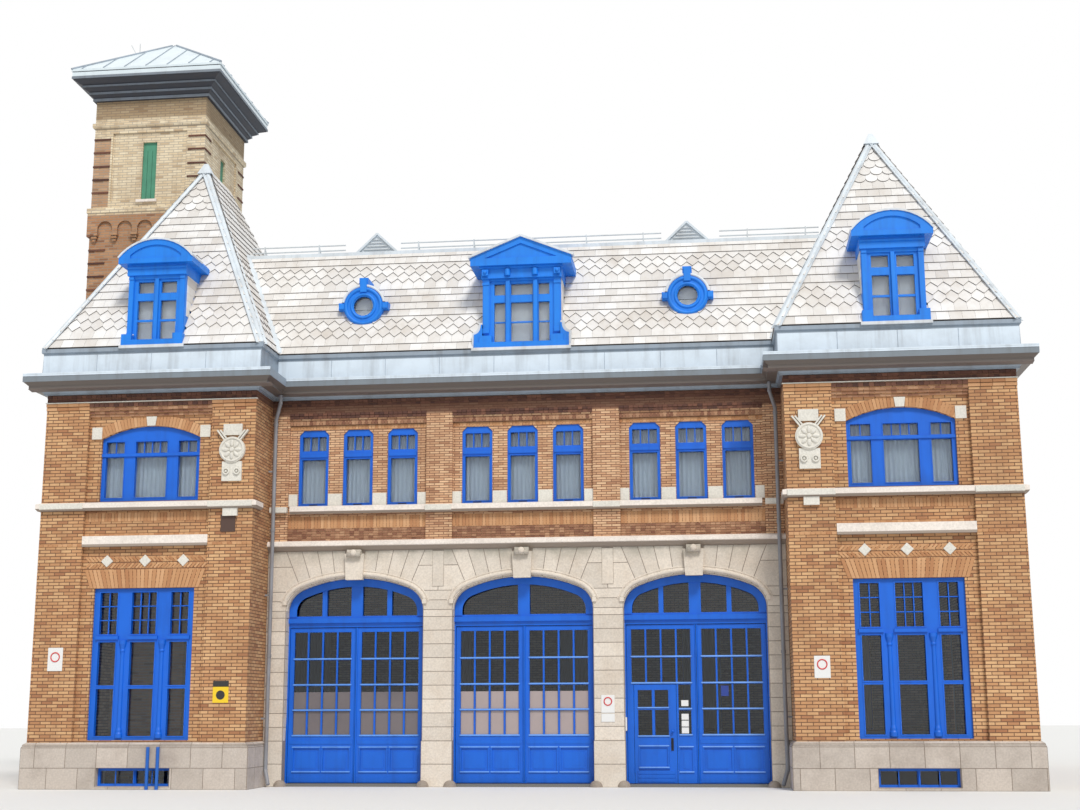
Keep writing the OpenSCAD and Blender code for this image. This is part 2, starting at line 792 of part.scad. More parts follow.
// Corbel table under the lower string course, and the grooves between the quoins
corbel_z = [13980, 14590];
corbel_out = 60;
corbel_pitch = 545;
corbel_arch = 200;
quoin_z = [15190, 15550, 15920, 16310, 16680];
quoin_groove = 22;
module tower_walls() {
    color("#cdae7c") difference() {
        union() {
            block([tower_x, tower_y, 0], [tower_x + tower_w, tower_y + tower_d, tower_top]);
            for (t = tower_strings)
                moulded(tower_x, tower_x + tower_w, tower_y, tower_y + tower_d,
                        [[-1, t[0]], [t[2] - 30, t[0]], [t[2], t[0] + 40], [t[2], t[1] - 30], [-1, t[1]]]);
            moulded(tower_x, tower_x + tower_w, tower_y, tower_y + tower_d,
                    [[-1, corbel_z[0]], [corbel_out, corbel_z[0]],
                     [corbel_out, corbel_z[1]], [-1, corbel_z[1]]]);
        }
        block([tower_x + tower_t, tower_y + tower_t, -1],
              [tower_x + tower_w - tower_t, tower_y + tower_d - tower_t, tower_top + 1]);
        tower_sides() {
            block([-1020, -1, tower_panel[0]], [1020, 50, tower_panel[1]]);
            block([-slit_w / 2, -1, slit[0]], [slit_w / 2, tower_t + 1, slit[1]]);
            for (i = [-2:2]) along_y(-corbel_out - 1, 0) translate([i * corbel_pitch, corbel_z[0]]) {
                translate([-corbel_arch, -1]) square([2 * corbel_arch, 211]);
                translate([0, 210]) circle(corbel_arch);
            }
            for (s = sides, z = quoin_z) translate([s * 1300, 0, z])
                block([-230, -1, 0], [230, quoin_groove, quoin_groove]);
        }
    }
}

// Moulded wooden cornice of the tower, stepping out to the gutter edge
module tower_cornice() {
    mould = [[-150, tower_top], [60, tower_top], [60, 17850], [150, 17920], [150, 17990], [290, 18080],
             [290, 18140], [480, 18240], [500, 18250], [500, tower_eave], [-150, tower_eave]];
    color("#8b939c") difference() {
        moulded(tower_x, tower_x + tower_w, tower_y, tower_y + tower_d, mould);
        block([tower_x + 150, tower_y + 150, tower_top - 1],
              [tower_x + tower_w - 150, tower_y + tower_d - 150, tower_eave + 1]);
    }
}

// Low hipped metal roof of the tower
module tower_roof() {
    over = 530;
    edge = 60;
    cx = tower_x + tower_w / 2;
    cy = tower_y + tower_d / 2;
    hx = tower_w / 2 + over;
    hy = tower_d / 2 + over;
    z0 = tower_eave;
    color("#dde4ea") intersection() {
        along_y(cy - hy, cy + hy) translate([cx, 0])
            polygon([[-hx, z0], [hx, z0], [hx, z0 + edge], [60, tower_peak], [-60, tower_peak],
                     [-hx, z0 + edge]]);
        along_x(cx - hx, cx + hx) translate([cy, 0])
            polygon([[-hy, z0], [hy, z0], [hy, z0 + edge], [180, tower_peak], [-180, tower_peak],
                     [-hy, z0 + edge]]);
    }
}

module tower_shutter() {
    color("#2c8c66") tower_sides() block([-slit_w / 2, 110, slit[0]], [slit_w / 2, 160, slit[1]]);
}

// Window frame in X and Z: an outline with its lights cut out, as [x0, x1, z0, z1]
module frame_shape(lights) {
    difference() {
        children();
        for (q = lights) translate([q[0], q[2]]) square([q[1] - q[0], q[3] - q[2]]);
    }
}

// Three-light ground floor window: narrow side lights and a wide middle one, in three rows
frame_t = 100;
big_cols = [[-1040, -630], [-290, 290], [630, 1040]];
big_rows = [[1150, 2190], [2270, 3230], [3410, 4350]];
big_lights = [for (c = big_cols, r = big_rows) [c[0], c[1], r[0], r[1]]];
module big_outline() {
    translate([-big_w / 2, big_sill]) square([big_w, big_head - big_sill]);
}

// Arched three-light window of a pavilion's upper floor
arched_lights = [for (c = [[-1090, -650], [-380, 380], [650, 1090]], r = [[6530, 7480], [7570, 7840]])
                 [c[0], c[1], r[0], r[1]]];
module arched_outline() {
    segment_shape(0, big_w, sill_z + 30, arch_window_spring, arch_window_crown);
}

// Slim upper window: one tall light with a small barred one over it
slim_lights = [[-288, 288, 6480, 7530], [-288, 288, 7740, 8080]];

// Dormer windows
dormer_rows = [[10230, 11200], [11380, 11660]];
centre_dormer_lights = [for (c = [[-660, -400], [-260, 260], [400, 660]], r = dormer_rows)
                        [c[0], c[1], r[0], r[1]]];
pavilion_dormer_lights = [for (c = [[-470, -90], [90, 470]], r = dormer_rows) [c[0], c[1], r[0], r[1]]];
module dormer_outline(half) {
    translate([-half, 10150]) square([2 * half, 1570]);
}

// Places of the windows: the Y of each frame's front
pavilion_frame_y = front_y + 170;
upper_frame_y = 110;
centre_dormer_y = -20;
pavilion_dormer_y = front_y + 60;

module basement_outline() {
    translate([-basement_half, floor_z]) square([2 * basement_half, basement_top - floor_z]);
}

// Turned colonette on a mullion of the ground floor window: base, tapered shaft and capital
colonette_x = 460;
module colonette() {
    rotate_extrude() polygon([[0, 1110], [88, 1110], [88, 1200], [72, 1230], [72, 1280], [56, 1340],
                              [46, 3010], [62, 3020], [62, 3050], [50, 3070], [88, 3190], [88, 3270], [0, 3270]]);
}

module pavilion_windows() {
    color("#1560d0") both_sides() translate([pavilion_x, 0, 0]) {
        along_y(pavilion_frame_y, pavilion_frame_y + frame_t) {
            frame_shape(big_lights) big_outline();
            frame_shape(arched_lights) arched_outline();
        }
        for (s = sides) translate([s * colonette_x, pavilion_frame_y + 10, 0]) colonette();
        along_y(front_y + 60, front_y + 130)
            frame_shape([[-790, -30, 120, 400], [30, 790, 120, 400]]) basement_outline();
    }
}

module upper_front_windows() {
    color("#1560d0") along_y(upper_frame_y, upper_frame_y + frame_t)
        for (b = bays, i = [-1:1]) translate([b + i * slim_pitch, 0]) frame_shape(slim_lights) slim_shape(0);
}

// Side and rear windows: tall two-row ones on the ground floor, slim ones over them
plain_lights = [for (c = [[-520, -40], [40, 520]], r = [[1150, 3150], [3300, 4160]])
                [c[0], c[1], r[0], r[1]]];
module plain_outline() {
    translate([-600, big_sill]) square([1200, big_head - big_sill - 200]);
}

// Puts a wall's windows in place: children(0) is the ground floor one and children(1) the upper one
module rear_places() {
    for (x = concat([-pavilion_x, pavilion_x], bays)) translate([x, 0]) children(0);
    for (b = bays, i = [-1:1]) translate([b + i * slim_pitch, 0]) children(1);
    for (s = sides, i = sides) translate([s * pavilion_x + i * slim_pitch / 2, 0]) children(1);
}

module side_places(list) {
    for (y = list) translate([y, 0]) {
        children(0);
        children(1);
    }
}

module rear_windows() {
    color("#1560d0") {
        along_y(block_depth - 210, block_depth - 110) rear_places() {
            frame_shape(plain_lights) plain_outline();
            frame_shape(slim_lights) slim_shape(0);
        }
        along_x(outer_x - 210, outer_x - 110) side_places(right_windows) {
            frame_shape(plain_lights) plain_outline();
            frame_shape(slim_lights) slim_shape(0);
        }
        along_x(110 - outer_x, 210 - outer_x) side_places(side_windows) {
            frame_shape(plain_lights) plain_outline();
            frame_shape(slim_lights) slim_shape(0);
        }
    }
}

module dormer_windows() {
    color("#1560d0") {
        along_y(centre_dormer_y, centre_dormer_y + 80) frame_shape(centre_dormer_lights) dormer_outline(760);
        both_sides() along_y(pavilion_dormer_y, pavilion_dormer_y + 80) translate([pavilion_x, 0])
            frame_shape(pavilion_dormer_lights) dormer_outline(560);
    }
}

// Panes behind every fixed frame
module window_glass() {
    t = glass_t;
    color("#9aa3ad", 0.6) {
        both_sides() translate([pavilion_x, 0, 0]) {
            along_y(pavilion_frame_y + frame_t, pavilion_frame_y + frame_t + t) {
                big_outline();
                arched_outline();
            }
            along_y(front_y + 130, front_y + 130 + t) basement_outline();
        }
        along_y(upper_frame_y + frame_t, upper_frame_y + frame_t + t)
            for (b = bays, i = [-1:1]) slim_shape(b + i * slim_pitch);
        along_y(block_depth - 210 - t, block_depth - 210) rear_places() {
            plain_outline();
            slim_shape(0);
        }
        along_x(outer_x - 210 - t, outer_x - 210) side_places(right_windows) {
            plain_outline();
            slim_shape(0);
        }
        along_x(210 - outer_x, 210 - outer_x + t) side_places(side_windows) {
            plain_outline();
            slim_shape(0);
        }
        along_y(centre_dormer_y + 80, centre_dormer_y + 80 + t) dormer_outline(760);
        both_sides() along_y(pavilion_dormer_y + 80, pavilion_dormer_y + 80 + t) translate([pavilion_x, 0])
            dormer_outline(560);
        for (s = sides) along_y(350, 350 + t) translate([s * bay_pitch, round_z]) circle(round_r);
        for (b = bays) along_y(door_y + 60, door_y + 60 + t) translate([b, 0]) fan_outline(-70);
    }
}

// Butt hinges: each has a lower barrel on the leaf and an upper one on the post, on one pin
hinge_z = [420, 1830, 3240];
wicket_hinge_z = [300, 1960];
barrel_h = 70;
barrel_r = 12;
pin_r = 5;
module barrels(heights, r, z0, z1) {
    for (z = heights) translate([0, 0, z + z0]) cylinder(r = r, h = z1 - z0);
}

// What the hanging side adds to a hinge, with its axis on the Z axis
module leaf_barrels(heights) {
    barrels(heights, barrel_r, 0, barrel_h);
}

// What the hanging side leaves free for the post's barrels and the pin
module leaf_barrel_room(heights) {
    barrels(heights, barrel_r + 2, barrel_h + 1, 2 * barrel_h + 6);
    barrels(heights, pin_r + 0.5, -1, barrel_h + 2);
}

// What the fixed side adds to a hinge: its barrel, and the pin
module post_barrels(heights) {
    barrels(heights, barrel_r, barrel_h + 3, 2 * barrel_h + 3);
    barrels(heights, pin_r, 1, barrel_h + 4);
}

// What the fixed side leaves free for the leaf's barrels
module post_barrel_room(heights) {
    barrels(heights, barrel_r + 2, -3, barrel_h + 2);
}

// Posts that the bay doors hang on
module door_posts() {
    color("#1560d0") for (b = bays, m = [0, 1]) translate([b, 0, 0]) mirror([m, 0, 0]) {
        difference() {
            block([-bay_half, door_y - 30, floor_z], [post_w - bay_half, door_y + 110, transom_z]);
            translate(leaf_axis) post_barrel_room(hinge_z);
        }
        translate(leaf_axis) post_barrels(hinge_z);
    }
}

// Fanlight outline above the transom, grown by m
module fan_outline(m) {
    intersection() {
        arch_shape(m, transom_z);
        translate([-bay_half, fan_z]) square([2 * bay_half, 2000]);
    }
}

// Arched fanlight frames with a projecting transom
module fanlight_frames() {
    color("#1560d0") for (b = bays) translate([b, 0, 0]) {
        along_y(door_y - 30, door_y + 60) difference() {
            arch_shape(0, transom_z);
            difference() {
                intersection() {
                    arch_shape(-75, transom_z);
                    translate([-bay_half, fan_z + 10]) square([2 * bay_half, 2000]);
                }
                translate([-135, fan_z]) square([270, 1000]);
                if (b != 0) for (s = sides) translate([s * 770 - 55, fan_z]) square([110, 1000]);
            }
        }
        block([-bay_half, door_y - 90, fan_z - 150], [bay_half, door_y - 30, fan_z - 40]);
    }
}

// Glazed field of a leaf, as the columns and rows of its lights, measured from the bay's middle
col_x = [for (i = [0:3]) -1466 + i * 345];
col_w = 306;
row_z = [1140, 1714, 2288, 2878];
row_h = [540, 536, 552, 602];
rebate = 40;

leaf_left = -leaf_w - leaf_gap / 2;
leaf_right = -leaf_gap / 2;
leaf_axis = [leaf_left, door_y + leaf_t, 0];
wicket_axis = [wicket_x, door_y, 0];

// Lights of a leaf in X and Z, for the given rows
module leaf_lights(rows) {
    for (x = col_x, r = rows) translate([x, row_z[r]]) square([col_w, row_h[r]]);
}

// Pocket at the back of a leaf that its glass lies in, as [low x, high x, low z, high z]
lap = 20;
field = [col_x[0] - lap, col_x[3] + col_w + lap, row_z[0] - lap, row_z[3] + row_h[3] + lap];
upper_field = [field[0], field[1], row_z[2] - lap, field[3]];
side_light = [wicket_x + wicket_w + 50, -140];
side_field = [side_light[0] - 15, side_light[1] + 15, field[2], row_z[2] - lap];
module pocket(f, y0, y1) {
    block([f[0], y0, f[2]], [f[1], y1, f[3]]);
}

// Sunken panel in the foot of a leaf
panel = [320, 840];
panel_sink = 18;
module foot_panel(x0, x1) {
    block([x0, door_y - 1, panel[0]], [x1, door_y + panel_sink, panel[1]]);
}

// Slab of a left-hand leaf, with its hinge barrels and half of the round bead where the leaves meet
bead_r = 30;
module leaf_slab() {
    block([leaf_left, door_y, leaf_foot], [leaf_right, door_y + leaf_t, leaf_top]);
    translate(leaf_axis) leaf_barrels(hinge_z);
    intersection() {
        translate([leaf_right, door_y, leaf_foot]) cylinder(r = bead_r, h = leaf_top - leaf_foot);
        block([leaf_right - bead_r, door_y - bead_r, 0], [leaf_right, door_y + 1, leaf_top + 1]);
    }
}

// Left-hand leaf: x is measured from the middle of its bay
module plain_leaf() {
    difference() {
        leaf_slab();
        translate(leaf_axis) leaf_barrel_room(hinge_z);
        along_y(door_y - 1, door_y + leaf_t + 1) leaf_lights([0:3]);
        pocket(field, door_y + leaf_t - rebate, door_y + leaf_t + 1);
        foot_panel(-1440, -830);
        foot_panel(-740, -130);
    }
}

// Leaf with the wicket door's opening and the narrow lights beside it
module wicket_leaf() {
    difference() {
        leaf_slab();
        translate(leaf_axis) leaf_barrel_room(hinge_z);
        translate(wicket_axis) post_barrel_room(wicket_hinge_z);
        along_y(door_y - 1, door_y + leaf_t + 1) {
            leaf_lights([2:3]);
            for (r = [0:1]) translate([side_light[0], row_z[r]])
                square([side_light[1] - side_light[0], row_h[r] - 10]);
        }
        block([wicket_x - gap, door_y - 1, 0],
              [wicket_x + wicket_w + gap, door_y + leaf_t + 1, wicket_top + gap]);
        pocket(upper_field, door_y + leaf_t - rebate, door_y + leaf_t + 1);
        pocket(side_field, door_y + leaf_t - rebate, door_y + leaf_t + 1);
        foot_panel(side_light[0], side_light[1]);
    }
    translate(wicket_axis) post_barrels(wicket_hinge_z);
}

module bay1_left_leaf() {
    color("#1560d0") translate([bays[0], 0, 0]) plain_leaf();
}

module bay1_right_leaf() {
    color("#1560d0") translate([bays[0], 0, 0]) mirror([1, 0, 0]) plain_leaf();
}

module bay2_left_leaf() {
    color("#1560d0") plain_leaf();
}

module bay2_right_leaf() {
    color("#1560d0") mirror([1, 0, 0]) plain_leaf();
}

module bay3_left_leaf() {
    color("#1560d0") translate([bays[2], 0, 0]) wicket_leaf();
}

module bay3_right_leaf() {
    color("#1560d0") translate([bays[2], 0, 0]) mirror([1, 0, 0]) plain_leaf();
}

// Wicket door: four panes over one sunken panel, with a knob
wicket_t = 50;
wicket_rebate = 25;
wicket_cols = [[-1333, -1018], [-954, -648]];
wicket_rows = [[1120, 1680], [1740, 2120]];
wicket_field = [wicket_cols[0][0] - lap, wicket_cols[1][1] + lap,
                wicket_rows[0][0] - lap, wicket_rows[1][1] + lap];
module wicket_door() {
    color("#1560d0") translate([bays[2], 0, 0]) {
        difference() {
            union() {
                block([wicket_x, door_y, leaf_foot], [wicket_x + wicket_w, door_y + wicket_t, wicket_top]);
                translate(wicket_axis) leaf_barrels(wicket_hinge_z);
            }
            translate(wicket_axis) leaf_barrel_room(wicket_hinge_z);
            for (c = wicket_cols, r = wicket_rows)
                block([c[0], door_y - 1, r[0]], [c[1], door_y + wicket_t + 1, r[1]]);
            pocket(wicket_field, door_y + wicket_t - wicket_rebate, door_y + wicket_t + 1);
            foot_panel(wicket_cols[0][0], wicket_cols[1][1]);
        }
        translate([-560, door_y, 1210]) rotate([90, 0, 0]) cylinder(r = 14, h = 45, $fn = 24);
        translate([-560, door_y - 55, 1210]) sphere(30, $fn = 24);
    }
}

// Glass of a leaf, lying in the pocket behind its bars
module leaf_glass(fields, front) {
    color("#9aa3ad", 0.6) for (f = fields) pocket(f, front, front + glass_t);
}

module bay1_left_glass() {
    translate([bays[0], 0, 0]) leaf_glass([field], door_y + leaf_t - rebate);
}

module bay1_right_glass() {
    translate([bays[0], 0, 0]) mirror([1, 0, 0]) leaf_glass([field], door_y + leaf_t - rebate);
}

module bay2_left_glass() {
    leaf_glass([field], door_y + leaf_t - rebate);
}

module bay2_right_glass() {
    mirror([1, 0, 0]) leaf_glass([field], door_y + leaf_t - rebate);
}

module bay3_left_glass() {
    translate([bays[2], 0, 0]) leaf_glass([upper_field, side_field], door_y + leaf_t - rebate);
}

module bay3_right_glass() {
    translate([bays[2], 0, 0]) mirror([1, 0, 0]) leaf_glass([field], door_y + leaf_t - rebate);
}

module wicket_glass() {
    translate([bays[2], 0, 0]) leaf_glass([wicket_field], door_y + wicket_t - wicket_rebate);
}

// Downspouts in the corners beside the pavilions, each with a swan neck under the gutter and a kicked-out
// foot, and two standpipes beside the left basement window
spout_r = 45;
spout_route = [[-110, -150, 60], [0, 0, 380], [0, 0, 8450], [-120, -90, 8830], [-120, -90, 9036]];
spout_collars = [2900, 5800, 8300];
standpipe_r = 38;

// Round pipe along a list of points, with a slightly fuller ball joint at each bend
module pipe_run(route, r) {
    for (i = [1:len(route) - 1]) {
        step = route[i] - route[i - 1];
        translate(route[i - 1]) rotate([0, acos(step.z / norm(step)), atan2(step.y, step.x)])
            cylinder(r = r, h = norm(step), $fn = 24);
    }
    for (i = [1:len(route) - 2]) translate(route[i]) sphere(r = r + 5, $fn = 24);
}

module pipes() {
    color("#7e868f") {
        both_sides() translate([centre_half - spout_r - 100, -spout_r - 160, 0]) {
            pipe_run(spout_route, spout_r);
            for (z = spout_collars) translate([0, 0, z]) cylinder(r = spout_r + 10, h = 70, $fn = 24);
            for (z = [1500, 4300, 7200]) block([-20, 0, z], [spout_r + 100, 20, z + 40]);
        }
        for (x = [-8160, -7930]) translate([x, front_y - 150, 0]) {
            cylinder(r = standpipe_r, h = 920, $fn = 24);
            block([-15, 0, 620], [15, 150 - plinth_out, 660]);
        }
    }
}

ground_floor();
pavilion_floors();
upper_floor();
attic_floor();
pavilion_plinths();
rear_plinths();
left_pavilion_wall();
right_pavilion_wall();
return_walls();
left_side_wall();
right_side_wall();
rear_wall();
upper_front_wall();
arcade_piers();
arcade_arches();
arch_mouldings();
string_course();
sill_course();
window_stones();
medallions();
pavilion_cornices();
centre_cornice();
rear_cornice();
front_mansard();
rear_mansards();
roof_deck();
left_pavilion_roof();
right_pavilion_roof();
centre_dormer();
pavilion_dormers();
dormer_windows();
round_windows();
roof_vents();
snow_rails();
tower_walls();
tower_cornice();
tower_roof();
tower_shutter();
pavilion_windows();
upper_front_windows();
rear_windows();
window_glass();
door_posts();
fanlight_frames();
bay1_left_leaf();
bay1_right_leaf();
bay2_left_leaf();
bay2_right_leaf();
bay3_left_leaf();
bay3_right_leaf();
wicket_door();
bay1_left_glass();
bay1_right_glass();
bay2_left_glass();
bay2_right_glass();
bay3_left_glass();
bay3_right_glass();
wicket_glass();
pipes();
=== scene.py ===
import random
from math import asin, atan2, cos, hypot, pi, radians, sin, tan

import bmesh
import bpy
from mathutils import Matrix, Vector


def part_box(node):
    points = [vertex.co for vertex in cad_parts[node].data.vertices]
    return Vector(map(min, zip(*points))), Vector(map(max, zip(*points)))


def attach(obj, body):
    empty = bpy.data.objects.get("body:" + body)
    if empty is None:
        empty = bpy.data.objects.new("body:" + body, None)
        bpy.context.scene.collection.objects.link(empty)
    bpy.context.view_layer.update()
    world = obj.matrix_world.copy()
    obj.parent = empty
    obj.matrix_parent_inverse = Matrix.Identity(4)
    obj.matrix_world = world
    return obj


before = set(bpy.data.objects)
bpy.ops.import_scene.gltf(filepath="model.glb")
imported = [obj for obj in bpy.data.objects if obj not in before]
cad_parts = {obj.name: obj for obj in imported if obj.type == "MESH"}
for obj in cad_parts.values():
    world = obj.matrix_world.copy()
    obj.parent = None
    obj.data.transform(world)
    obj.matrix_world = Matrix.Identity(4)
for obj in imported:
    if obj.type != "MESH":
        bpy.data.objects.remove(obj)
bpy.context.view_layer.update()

# Camera, floor and light
# The camera stands in the street in front of the left half of the building and looks slightly up.
# A pale floor, a white surround and one soft sun from the front right light the building.
camera = bpy.data.objects.new("street_camera", bpy.data.cameras.new("street_camera"))
camera.data.lens = 50.354
camera.data.sensor_width = 36
camera.data.sensor_fit = "HORIZONTAL"
camera.data.clip_end = 500
heading, tilt, roll = 0.113, 0.199, -0.004
camera.matrix_world = (Matrix.Translation((4.336, -34.481, 1.694)) @ Matrix.Rotation(heading, 4, "Z")
                       @ Matrix.Rotation(pi / 2 + tilt, 4, "X") @ Matrix.Rotation(roll, 4, "Z"))
bpy.context.collection.objects.link(camera)
bpy.context.scene.camera = camera
bpy.context.scene.view_settings.view_transform = "Standard"

sun = bpy.data.objects.new("soft_sun", bpy.data.lights.new("soft_sun", "SUN"))
sun.data.energy = 2.3
sun.data.angle = radians(14)
sun.data.color = (1.0, 0.97, 0.92)
sun_side, sun_height = radians(24), radians(48)
to_sun = Vector((sin(sun_side) * cos(sun_height), -cos(sun_side) * cos(sun_height), sin(sun_height)))
sun.matrix_world = to_sun.to_track_quat("Z", "Y").to_matrix().to_4x4()
bpy.context.collection.objects.link(sun)


def add(tree, kind, inputs=None, **settings):
    """Adds a shader node; an input given as a socket is linked, and anything else is its value."""
    node = tree.nodes.new("ShaderNode" + kind)
    for key, value in settings.items():
        setattr(node, key, value)
    for key, value in (inputs or {}).items():
        if isinstance(value, bpy.types.NodeSocket):
            tree.links.new(value, node.inputs[key])
        else:
            node.inputs[key].default_value = value
    return node


def maths(tree, operation, a, b, **settings):
    """The result of one operation on two values."""
    return add(tree, "Math", {0: a, 1: b}, operation=operation, **settings).outputs[0]


studio = bpy.data.worlds.new("studio")
bpy.context.scene.world = studio
studio.use_nodes = True
sky = studio.node_tree
sky.nodes.clear()
path = add(sky, "LightPath").outputs
seen = maths(sky, "MAXIMUM", path["Is Camera Ray"], path["Is Glossy Ray"])
seen = maths(sky, "MAXIMUM", seen, path["Is Transmission Ray"])
fill = add(sky, "Background", {"Color": (0.9, 0.95, 1.0, 1), "Strength": 0.62})
white = add(sky, "Background", {"Color": (1, 1, 1, 1), "Strength": 1.0})
surround = add(sky, "MixShader", {0: seen, 1: fill.outputs[0], 2: white.outputs[0]})
add(sky, "OutputWorld", {"Surface": surround.outputs[0]})


def plain_material(name, colour, roughness, metallic=0.0):
    """A material of one colour."""
    material = bpy.data.materials.new(name)
    material.use_nodes = True
    shader = material.node_tree.nodes["Principled BSDF"]
    shader.inputs["Base Color"].default_value = (*colour, 1)
    shader.inputs["Roughness"].default_value = roughness
    shader.inputs["Metallic"].default_value = metallic
    return material


def mesh_of(name, bm):
    """Turns a bmesh into a mesh."""
    mesh = bpy.data.meshes.new(name)
    bm.to_mesh(mesh)
    bm.free()
    return mesh


floor_bm = bmesh.new()
bmesh.ops.create_grid(floor_bm, x_segments=1, y_segments=1, size=120)
studio_floor = bpy.data.objects.new("studio_floor", mesh_of("studio_floor", floor_bm))
studio_floor.data.materials.append(plain_material("studio_floor", (0.78, 0.77, 0.75), 0.9))
bpy.context.collection.objects.link(studio_floor)

# Brick walls
# Buff to orange facing bricks laid in bonded courses, with narrow brown joints; under the eaves dark brick and painted
# shade.
# The pavilions have courses of 74 mm, and the wall over the arcade has thinner ones.


def node_group(name, colours, values, **outputs):
    """A new shader node group with named sockets; returns it with its input sockets and its output node."""
    group = bpy.data.node_groups.new(name, "ShaderNodeTree")
    for socket, kind in [(colour, "Color") for colour in colours] + [(value, "Float") for value in values]:
        group.interface.new_socket(socket, in_out="INPUT", socket_type="NodeSocket" + kind)
    for socket, kind in outputs.items():
        group.interface.new_socket(socket, in_out="OUTPUT", socket_type="NodeSocket" + kind)
    return group, group.nodes.new("NodeGroupInput").outputs, group.nodes.new("NodeGroupOutput")


def place_group(tree, group, **inputs):
    """Puts a node group in a material's tree with its own values, and returns its outputs."""
    node = tree.nodes.new("ShaderNodeGroup")
    node.node_tree = group
    for key, value in inputs.items():
        if isinstance(value, bpy.types.NodeSocket):
            tree.links.new(value, node.inputs[key])
        else:
            node.inputs[key].default_value = (*value, 1) if isinstance(value, tuple) else value
    return node.outputs


def give_out(group, node, **outputs):
    """Links values to the outputs of a node group or the sockets of a material's shader."""
    for key, value in outputs.items():
        group.links.new(value, node.inputs[key.replace("_", " ")])


def finish_with(material, **outputs):
    """Links colours and normals into a material's Principled shader."""
    give_out(material.node_tree, material.node_tree.nodes["Principled BSDF"], **outputs)


def on_object(tree):
    """The Object coordinates."""
    return add(tree, "TexCoord").outputs["Object"]


def axes(tree):
    """The Object coordinates as X, Y and Z."""
    return add(tree, "SeparateXYZ", {0: on_object(tree)}).outputs


def noise(tree, scale, detail=2.0, roughness=0.5, place=None):
    """Soft random values from 0 to 1."""
    return add(tree, "TexNoise", {"Vector": place or on_object(tree), "Scale": scale, "Detail": detail,
                                  "Roughness": roughness}).outputs["Fac"]


def spread(tree, value, low, high, to_low=0.0, to_high=1.0, **settings):
    """A value's stretch from low to high, laid over another stretch and held within it."""
    return add(tree, "MapRange", {"Value": value, 1: low, 2: high, 3: to_low, 4: to_high}, **settings).outputs[0]


def mix(tree, factor, low, high):
    """Blends two colours by a factor."""
    low, high = [(*c, 1) if isinstance(c, tuple) else c for c in (low, high)]
    return add(tree, "Mix", {0: factor, 6: low, 7: high}, data_type="RGBA").outputs[2]


def tint_by(tree, colour, amount):
    """A colour multiplied by a value or by another colour."""
    return add(tree, "VectorMath", {0: colour, 1: amount}, operation="MULTIPLY").outputs[0]


def bump(tree, height, strength, depth):
    """The normals of a fine relief."""
    return add(tree, "Bump", {"Height": height, "Strength": strength, "Distance": depth}).outputs[0]


def wall_coordinates(tree):
    """Distance along a wall and height, from Object coordinates and the side that the wall faces."""
    place = axes(tree)
    facing = add(tree, "SeparateXYZ", {0: add(tree, "NewGeometry").outputs["Normal"]}).outputs["X"]
    turned = add(tree, "Math", {0: facing}, operation="ABSOLUTE").outputs[0]
    turned = maths(tree, "GREATER_THAN", turned, 0.7)
    return add(tree, "Mix", {0: turned, 2: place["X"], 3: place["Y"]}).outputs[0], place["Z"]


# Broad dirt and damp on a surface: noise blotches and stretched runs that darken or pale its colour
weather, weather_in, weather_out = node_group(
    "weather", ("Colour", "Dirt"), ("Blotches", "Runs", "Size"), Colour="Color")
blotches = spread(weather, noise(weather, weather_in["Size"], 5.0, 0.65), 0.42, 0.72)
stretched = add(weather, "Mapping", {"Vector": on_object(weather), "Scale": (3.5, 3.5, 0.35)}).outputs[0]
runs = spread(weather, noise(weather, 1.4, 4.0, 0.6, stretched), 0.48, 0.75)
dirty = maths(weather, "ADD", maths(weather, "MULTIPLY", blotches, weather_in["Blotches"]),
              maths(weather, "MULTIPLY", runs, weather_in["Runs"]), use_clamp=True)
give_out(weather, weather_out, Colour=mix(weather, dirty, weather_in["Colour"], weather_in["Dirt"]))

# Courses of bricks on a wall, each brick with its own tone between three colours
brickwork, bricks_in, bricks_out = node_group(
    "brickwork", ("Pale", "Middle", "Burnt", "Mortar"), ("Along", "Height", "Course", "Length", "Joint"),
    Colour="Color", Face="Float")
bond = add(brickwork, "TexBrick", {
    "Vector": add(brickwork, "CombineXYZ", {0: bricks_in["Along"], 1: bricks_in["Height"]}).outputs[0],
    "Color1": (0, 0, 0, 1), "Color2": (1, 1, 1, 1), "Mortar": (0, 0, 0, 1), "Scale": 1.0, "Bias": 0.0,
    "Mortar Size": bricks_in["Joint"], "Mortar Smooth": 0.1, "Brick Width": bricks_in["Length"],
    "Row Height": bricks_in["Course"]}).outputs
tone = add(brickwork, "SeparateColor", {0: bond["Color"]}).outputs[0]
bricks = mix(brickwork, spread(brickwork, tone, 0.35, 1.0), bricks_in["Middle"], bricks_in["Pale"])
bricks = mix(brickwork, spread(brickwork, tone, 0.16, 0.0), bricks, bricks_in["Burnt"])
give_out(brickwork, bricks_out, Colour=mix(brickwork, bond["Fac"], bricks, bricks_in["Mortar"]),
         Face=maths(brickwork, "SUBTRACT", 1.0, bond["Fac"]))


def brick_material(name, tones, course, length, joint, dark_from):
    """Facing bricks in pale, middle, burnt and mortar tones; above dark_from, dark red-brown brick and painted shade.
    """
    material = plain_material(name, tones[1], 0.85)
    tree = material.node_tree
    along, height = wall_coordinates(tree)
    bricks = place_group(tree, brickwork, Along=along, Height=height, Course=course, Length=length, Joint=joint,
                         **dict(zip(("Pale", "Middle", "Burnt", "Mortar"), tones)))
    # Above dark_from the bricks turn dark red-brown: partly dark brick, partly painted shade cast by the cornice
    risen = spread(tree, height, dark_from, dark_from + 0.02, 0.0, 0.85)
    worn = place_group(tree, weather, Colour=mix(tree, risen, bricks["Colour"], (0.105, 0.04, 0.027)),
                       Dirt=(0.20, 0.10, 0.05), Blotches=0.34, Runs=0.2, Size=0.55)
    relief = maths(tree, "ADD", bricks["Face"], noise(tree, 55.0, 3.0))
    finish_with(material, Base_Color=worn["Colour"], Normal=bump(tree, relief, 0.6, 0.006))
    return material


